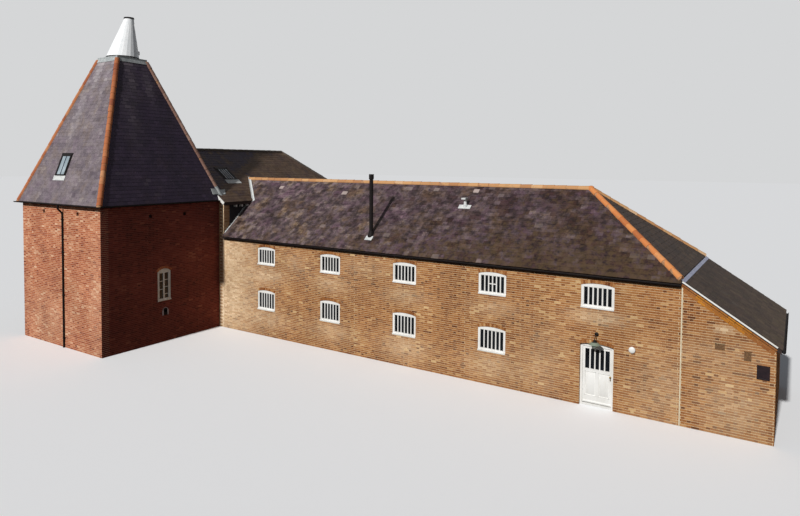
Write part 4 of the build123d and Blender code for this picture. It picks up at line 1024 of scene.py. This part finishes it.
def cowlHoop(z, tall, proud):
    # a band round the cone at a height
    n = 2 * cowlSize["sides"]
    a = 2 * np.pi * np.arange(n) / n
    rings = [cowlPoint(a, level, grow) for level, grow in ((z, -0.002), (z, proud), (z + tall, proud),
                                                           (z + tall, -0.002))]
    k = np.arange(n)
    j = (k + 1) % n
    faces = [np.stack([r * n + k, r * n + j, s * n + j, s * n + k], -1)
             for r, s in ((0, 1), (1, 2), (2, 3), (3, 0))]
    return np.concatenate(rings), np.concatenate(faces)[:, ::-1], np.full((4 * n, 2), 0.5)


addPiece("cowlBoards", cowlBoards(), cowlPaint, body="cowl")
# black iron bands round the cowl: the one at the foot is painted shadow for the dark gap under the cowl; the
# one at the rim is an iron hoop
hoops = gather(cowlHoop(0.004, 0.035, 0.014), cowlHoop(cowlSize["height"] - 0.012, 0.016, 0.036))
addPiece("cowlHoops", hoops, castIron, body="cowl")
print("cowl boarded")


def strip(line, sideA, sideB, lift, thick=0.004):
    # a folded sheet along a line of points: one leg to each side, given as vectors
    line, sideA, sideB, up = (np.array(x, float) for x in (line, sideA, sideB, (0, 0, lift)))
    low = [line + sideA + up, line + up, line + sideB + up]
    points = np.stack(low + [edge + (0, 0, thick) for edge in low[::-1]], 1).reshape(-1, 3)
    n = len(line)
    i = np.arange(n - 1)[:, None]
    k = np.arange(6)[None, :]
    j = (k + 1) % 6
    sides = np.stack([i * 6 + k, i * 6 + j, (i + 1) * 6 + j, (i + 1) * 6 + k], -1).reshape(-1, 4)
    ends = np.array([[0, 5, 4, 1], [1, 4, 3, 2]])
    ends = np.concatenate([ends, ends[:, ::-1] + (n - 1) * 6])
    return points, np.concatenate([sides[:, ::-1], ends[:, ::-1]]), np.full((len(points), 2), 0.5)


valleys = []
yFoot = depth / 2 - (ridge - wingEaveHeight) / rangeFall
for mirror, onPlan in ((1, lambda y: y), (-1, lambda y: depth - y)):
    foot = (wingReach, onPlan(yFoot), wingEaveHeight)
    low = (0.03, onPlan(yFoot - 0.2), rangeHeight(yFoot - 0.2))
    valleys += [strip(np.linspace(foot, (ridgeStart, depth / 2 - mirror * 0.02, ridge), 8),
                      (-0.10, 0, 0.10 * wingFall), (0.11, 0, 0.0), 0.030),
                strip(np.linspace(low, (wingReach + 0.06, foot[1], wingEaveHeight + 0.005), 4),
                      (-0.03, mirror * 0.02, 0.03), (0.07, -mirror * 0.02, -0.02), 0.032),
                strip(np.linspace((0.012, onPlan(0.02), rangeHeight(0.02)), low, 6), (0, 0, 0.055),
                      (0.05, 0, 0), 0.026)]
addPiece("valleyLead", gather(*valleys), leadPale)
flashing = [(-0.02, depth + 0.11, leanLength - 0.12, leanLength - 0.002)]
addPiece("leanToLead", boards(leanSlope, flashing, 0.016, 0.026), leadBlue)
across = 2 * kilnFoot  # the width of a kiln slope at its foot
saddle = [plates(wingSlope, [[(-0.12, 0.54), (0.30, 0.54), (0.53, 0.90), (0.0, 0.90)]], 0.014, 0.030),
          plates(kilnSlope(90), [[(5.66, 0.34), (across - 0.14, 0.34), (across - 0.24, 0.62), (5.62, 0.62)]],
                 0.014, 0.032),
          tileRun(hipPoint(1, 1, 0), hipPoint(1, 1, 0.11), 0.114, 0.8, 126, lift=0.004, rough=0.0)]
addPiece("hipFootLead", gather(*saddle), leadSheet)
aprons, soakers = [], []
for face, (u, v), apron in ((kilnSlope(0), kilnLight, 0.20), (wingSlope, wingLight, 0.30)):
    aprons.append(boards(face, [(u - 0.44, u + 0.44, v - 0.48 - apron, v - 0.465)], 0.012, 0.029))
    soakers.append(boards(face, [(u - 0.42, u - 0.345, v - 0.48, v + 0.56),
                                 (u + 0.345, u + 0.42, v - 0.48, v + 0.56),
                                 (u - 0.42, u + 0.42, v + 0.47, v + 0.56)], 0.004, 0.026))
addPiece("rooflightLead", gather(*aprons), leadPale)
addPiece("rooflightSoakers", gather(*soakers), castIron)
for name, face, (u, v), wide, middles, back, front, material, slot in (
        # the wing rooflight's bars: white paint, made the brightest white as a painted reflection of the sky
        # on bars in the kiln's shadow
        ("rooflightBars", wingSlope, wingLight, 0.018, (-0.21, -0.07, 0.07, 0.21), 0.022, 0.036, cowlPaint,
         "dark_metal"),
        # the kiln rooflight's panes take the glass of painted sky reflection
        ("kilnRooflightPanes", kilnSlope(0), kilnLight, 0.12, (-0.15, 0.15), 0.018, 0.030, skyGlass,
         "glass")):
    boxes = [(u + s - wide, u + s + wide, v - 0.41, v + 0.41) for s in middles]
    addPiece(name, boards(face, boxes, back, front), material)
v0, v1 = kilnLength - 0.16, kilnLength - 0.004
u0, u1 = v0 * cosKiln, v1 * cosKiln
crown = [plates(kilnSlope(turn), [[(u0, v0), (across - u0, v0), (across - u1, v1), (u1, v1)]], 0.012, 0.030)
         for turn in (0, 90, 180, 270)]
addPiece("kilnTopLead", gather(*crown), leadSheet)


def collar(centre, wide, tall, steps):
    # a band round a pipe, a little fuller at its middle
    profile = [(0, -tall), (wide, -tall), (wide + 0.003, 0), (wide, tall), (0, tall)]
    return turned(centre, profile, steps=steps)


flueX, flueY, ventX, ventY = 8.1, 0.5, 11.65, 1.85
flueUp, ventUp = (flueY + reach) / cosRange, (ventY + reach) / cosRange
flueFlashing = [(flueX - 0.17, flueX + 0.17, flueUp - 0.30, flueUp - 0.08)]
ventFlashing = [(ventX - 0.27, ventX + 0.25, ventUp - 0.12, ventUp + 0.08)]
ventCone = [(0, 0), (0.10, 0), (0.085, 0.16), (0.066, 0.2), (0, 0.2)]
flashings = [boards(rangeSlopeFace, flueFlashing, 0.012, 0.026),
             boards(rangeSlopeFace, ventFlashing, 0.018, 0.036),
             turned((ventX, ventY, rangeHeight(ventY) - 0.09), ventCone, steps=20)]
addPiece("roofFlashings", gather(*flashings), leadPale)
flueBands = [collar((flueX, flueY, z), 0.084, 0.02, 28) for z in (5.75, 6.7)]
flueSkirt = [(0, 0), (0.15, 0), (0.14, 0.10), (0.10, 0.24), (0.082, 0.30), (0, 0.30)]
flueBands.append(turned((flueX, flueY, rangeHeight(flueY) - 0.14), flueSkirt, steps=28))
addPiece("flueBands", gather(*flueBands), castIron)
print("lead dressed")


wingVerge = facing((-wingWidth - wingReach, 0, wingEaveHeight), 270, wingSize["pitch"])
leanBoards = [(u, u + 0.034, 0.10, leanLength - 0.04) for u in (-0.034, depth + 2 * leanSize["verge"])]
verge = [boards(leanSlope, leanBoards, -0.034, 0.008),
         boards(wingSlope, [(-0.155, -0.118, -0.01, 0.62)], -0.150, -0.020),
         boards(wingVerge, [(0.118, 0.155, 0.01, 0.62)], -0.150, -0.020)]
addPiece("vergeBoards", gather(*verge), whitePaint)


def vergeBricks():
    # courses laid to the slope of the lean-to's roof, under its verge on both gable ends; orange lichen
    # grows on two lengths of it, as a bell curve round each one's middle
    shapes = []
    pick = np.random.default_rng(131)
    slope, course, rowEnd = leanWidth / cosLean, brickwork["course"], leanSize["top"] - leanWidth * leanFall
    count = int(slope / 0.225)
    step = slope / count

    def clay(e):
        grown = 0.8 * np.exp(-((e - 0.65) / 0.3) ** 2) + 0.9 * np.exp(-((e - 1.65) / 0.42) ** 2)
        return np.clip(0.12 + pick.uniform(0, 0.25, len(e)) + grown * pick.uniform(0.4, 1.0, len(e)), 0, 1)

    for turn, sign, origin in ((0, 1, (length, 0, leanSize["top"])),
                               (180, -1, (length + leanWidth, depth, rowEnd))):
        base, level, up, out = facing(origin, turn)
        run = level * cosLean - sign * np.array([0, 0, sinLean])
        face = (base, run, np.cross(out, run), out)
        edges = np.arange(count) * step
        for row, shift, proud in ((0, 0, 0.012), (1, 0.11, 0.009)):
            low, high = -course * (row + 1) + 0.005, -course * row - 0.003
            boxes = [(e + 0.005, min(e + step - 0.005, slope), low, high) for e in edges + shift]
            shapes.append(boards(face, boxes, -0.004, proud, tone=clay(edges + shift)))
        shapes.append(boards(face, [(e + 0.005, e + step - 0.005, 0.006, 0.050) for e in edges], 0.040, 0.052,
                             tone=clay(edges)))
    return gather(*shapes)


vergeClay = brickFinish("orangeVergeBrick", {0: "#90562d", 0.35: "#ab6e3b", 0.7: "#c8822f", 1: "#e09636"},
                        "#cfbda3")
addPiece("leanToVergeBricks", vergeBricks(), vergeClay)


def boardWall():
    # feather-edged boards on the wing's right wall above the range's front slope, each cut to both roofs
    shapes = []
    cover, thick, low, far, top = 0.15, 0.022, 0.355, 1.62, wingTop - 0.01
    for z0 in 4.30 + cover * np.arange(12):
        z1 = min(z0 + cover + 0.02, top)
        high0, high1 = (min(far, (z - wallLine) / rangeFall + 0.02) for z in (z0, z1))
        if high1 - low > 0.05 and z1 - z0 > 0.03:
            outline = [[(low, z0), (max(high0, low + 0.01), z0), (high1, z1), (low, z1)]]
            fronts = [[thick + 0.004, thick + 0.004, 0.008, 0.008]]
            shapes.append(plates(wingRightFace, outline, -0.002, fronts))
    shapes.append(boards(wingRightFace, [(0.335, 0.375, 4.72, top)], -0.002, 0.034))
    return gather(*shapes)


addPiece("wingWeatherboards", boardWall(), tarredBoard)
rafterFeet = [blockOf((x0, y - wide, z0), (x1, y + wide, z1)) for rows, x0, x1, wide, z0, z1 in (
    ((0.62, 0.98, 1.34), 0.02, 0.185, 0.035, 5.655, 5.75),
    (np.arange(6.2, 9.1, 0.42), 0.002, 0.16, 0.03, 5.775, 5.855),
    (np.arange(0.4, 9.1, 0.42), -wingWidth - 0.16, -wingWidth - 0.002, 0.03, 5.775, 5.855)) for y in rows]
addPiece("wingRafterFeet", gather(*rafterFeet), whitePaint)

gutters = dict(range=(0.142, 4.2564), lean=(22.372, 2.6739), kiln=(kilnFoot + 0.052, 5.992),
               radii=(0.050, 0.056), spacing=0.9)  # how far out and how high each gutter's middle lies
alongX, alongY = np.array([1.0, 0, 0]), np.array([0, 1.0, 0])


def strap(x, y, z, run, wide=0.014):
    # a gutter's strap: a bent flat bar, the arc from 205 to 335 degrees between two radii
    side = run[[1, 0, 2]]
    inner, outer = ([(x, y, z) + side * r * math.cos(t) + (0, 0, r * math.sin(t))
                     for t in np.radians(np.linspace(205, 335, 8))] for r in gutters["radii"])
    outline = np.array(inner + outer[::-1])
    m = len(outline)
    k = np.arange(m)
    j = (k + 1) % m
    faces = [np.stack([k, j, j + m, k + m], -1), k[::-1][None], k[None] + m]
    return np.concatenate([outline - run * wide, outline + run * wide]), faces, np.full((2 * m, 2), 0.5)


out, rim = gutters["range"]
straps = [strap(x, y, rim, alongX) for x in np.arange(0.6, length - 0.2, 0.91) for y in (-out, depth + out)]
out, rim = gutters["lean"]
straps += [strap(out, y, rim, alongY) for y in np.arange(0.4, depth, gutters["spacing"])]
out, rim = gutters["kiln"]
straps += [strap(kilnSize["x"] + side * out, y, rim, alongY)
           for y in np.arange(-5.6, -0.2, gutters["spacing"])
           for side in (1, -1)]
straps += [strap(x, kilnSize["y"] - out, rim, alongX) for x in np.arange(-5.9, -0.4, gutters["spacing"])]
addPiece("gutterBrackets", gather(*straps), castIron)
downpipe = dict(x=-2.99, y=-5.9383, levels=(0.4, 2.2, 4.0, 5.35))
x, y = downpipe["x"], downpipe["y"]
collars = [collar((x, y, z), 0.046, 0.03, 20) for z in downpipe["levels"]]
collars += [blockOf((x - 0.075, y + 0.01, z - 0.018), (x + 0.075, y + 0.034, z + 0.018))
            for z in downpipe["levels"]]
addPiece("downpipeCollars", gather(*collars), castIron)
print("verges, boards and brackets fixed")


bell = turned((18.39, 0.0, 2.06), [(0, 0), (0.098, 0), (0.102, 0.03), (0.095, 0.05), (0.07, 0.066),
                                   (0.03, 0.072), (0, 0.073)], axis=(0, -1, 0), steps=36)
addPiece("roundWallBox", bell, whitePaint)
addPiece("wallJointStrip", boards(frontFace, [(19.758, 19.792, 0.01, 4.16)], -0.001, 0.016), jointStrip)
louvres = []
for u, v, wide, tall in ((1.05, 2.57, 0.125, 0.085), (1.76, 2.42, 0.09, 0.13)):
    slats = [(u - wide + 0.01, u + wide - 0.01, z, z + 0.012)
             for z in np.arange(v - tall + 0.022, v + tall - 0.02, 0.024)]
    louvres += [boards(leanFrontFace, border(u - wide, u + wide, v - tall, v + tall, 0.016), -0.002, 0.022),
                boards(leanFrontFace, slats, 0.002, [[0.018, 0.018, 0.008, 0.008]] * len(slats)),
                boards(leanFrontFace, [(u - wide, u + wide, v - tall, v + tall)], 0.0, 0.006)]
addPiece("leanToVents", gather(*louvres), airBrick)
sign = (1.99, 2.31, 1.82, 2.21)
addPiece("blankSignBoard", gather(boards(leanFrontFace, [sign], 0.003, 0.022),
                                  boards(leanFrontFace, border(*sign, 0.022), 0.003, 0.031)), signPaint)
vent = dict(middle=2.92, foot=1.14, spring=1.36, half=0.095, frame=0.055)
middle, foot, spring, inner = (vent[key] for key in ("middle", "foot", "spring", "half"))
outer = inner + vent["frame"]
ventFrame = [boards(kilnRightFace, [(middle - outer, middle - inner, foot, spring),
                                    (middle + inner, middle + outer, foot, spring)], 0.0, 0.03),
             archRing(kilnRightFace, middle, spring, 2 * inner, 0.07, 62, depth=vent["frame"], count=5)]
addPiece("kilnVentFrame", gather(*ventFrame), palePaint)
flap = [turned(kilnRightFace[0] + middle * kilnRightFace[1] + (0.010, 0, spring),
               [(0, 0), (inner, 0), (inner, 0.006), (0, 0.006)], axis=(1, 0, 0)),
        boards(kilnRightFace, [(middle - inner, middle + inner, foot, spring)], 0.0, 0.016)]
addPiece("kilnVentFlap", gather(*flap), castIron)
grilles = [boards(face, ventHoles(middles, foot), -0.12, -0.10) for face, middles, foot in (
    (kilnFrontFace, kilnSize["frontVents"], kilnSize["frontVentFoot"]),
    (kilnRightFace, kilnSize["sideVents"], kilnSize["sideVentFoot"]),
    (kilnLeftFace, [kilnSide - u for u in kilnSize["sideVents"]], kilnSize["sideVentFoot"]))]
addPiece("ventGrilles", gather(*grilles), castIron)
lampX, lampOut = door["middle"], -0.23
bowl = [(0, 0), (0.05, 0.004), (0.09, 0.03), (0.11, 0.075), (0.108, 0.13), (0, 0.135)]
rose = [(0, 0), (0.066, 0), (0.066, 0.014), (0.04, 0.034), (0, 0.042)]
finial = [(0, -0.01), (0.05, -0.01), (0.045, 0.02), (0.02, 0.045), (0, 0.046)]
addPiece("lampGlass", turned((lampX, lampOut, 2.0), bowl, steps=28), lampGlass)
addPiece("lampFinial", gather(turned((lampX, -0.006, 2.38), rose, axis=(0, -1, 0), steps=28),
                              turned((lampX, lampOut, 2.21), finial, steps=20)), castIron)
print("wall fittings placed")


wide, low = 300, -0.003
floorMesh = bpy.data.meshes.new("studioFloor")
floorMesh.from_pydata([(-wide, -wide, low), (wide, -wide, low), (wide, wide, low), (-wide, wide, low)], [],
                      [(0, 1, 2, 3)])
floor = link("studioFloor", floorMesh)
floorPaint, add, place = newMaterial("paleStudioFloor")
isSeen = add("LightPath").outputs["Is Camera Ray"]
bounce = add("MixRGB", {"Fac": isSeen, "Color1": "#686866", "Color2": "#f8f8f8"})
matt = add("BsdfPrincipled", {"Base Color": bounce, "Roughness": 0.95, "Specular IOR Level": 0.0})
add("OutputMaterial", {"Surface": matt})
floorMesh.materials.append(floorPaint)

world = bpy.data.worlds.new("softStudio")
world.use_nodes = True
world.node_tree.nodes.clear()
add = functools.partial(addNode, world.node_tree)
rays = add("LightPath").outputs
seen = add("Math", {0: rays["Is Camera Ray"], 1: rays["Is Glossy Ray"]}, operation="MAXIMUM")
seen = add("Math", {0: seen, 1: rays["Is Transmission Ray"]}, operation="MAXIMUM")
fill = add("Background", {"Color": "#e2e9f4", "Strength": 0.14})
backdrop = add("Background", {"Color": "#d5d6d7", "Strength": 1.0})
add("OutputWorld", {"Surface": add("MixShader", {0: seen, 1: fill, 2: backdrop})})
bpy.context.scene.world = world

keyLight = dict(towards=(-0.015, -0.84, 0.54), strength=3.6, softness=2.0)
sun = bpy.data.lights.new("keyLight", "SUN")
sun.energy = keyLight["strength"]
sun.angle = math.radians(keyLight["softness"])
link("keyLight", sun).rotation_euler = Vector(keyLight["towards"]).to_track_quat("Z", "Y").to_euler()

# the camera solved from the photograph: focal length and horizon row in pixels of an 800 by 516 picture
shot = dict(place=(22.568, -19.8514, 7.7923), turn=(87.7287, -0.4270, 32.7746), focal=618.905,
            middleRow=187.48, width=800, rows=516)
camera = bpy.data.cameras.new("camera")
camera.sensor_width = 36.0
camera.lens = shot["focal"] / shot["width"] * camera.sensor_width
camera.shift_y = (shot["middleRow"] - shot["rows"] / 2) / shot["width"]
camera.clip_end = 500
viewer = link("camera", camera)
viewer.location = corner + np.array(shot["place"])
viewer.rotation_euler = [math.radians(angle) for angle in shot["turn"]]
bpy.context.scene.camera = viewer
bpy.context.scene.view_settings.view_transform = "Standard"
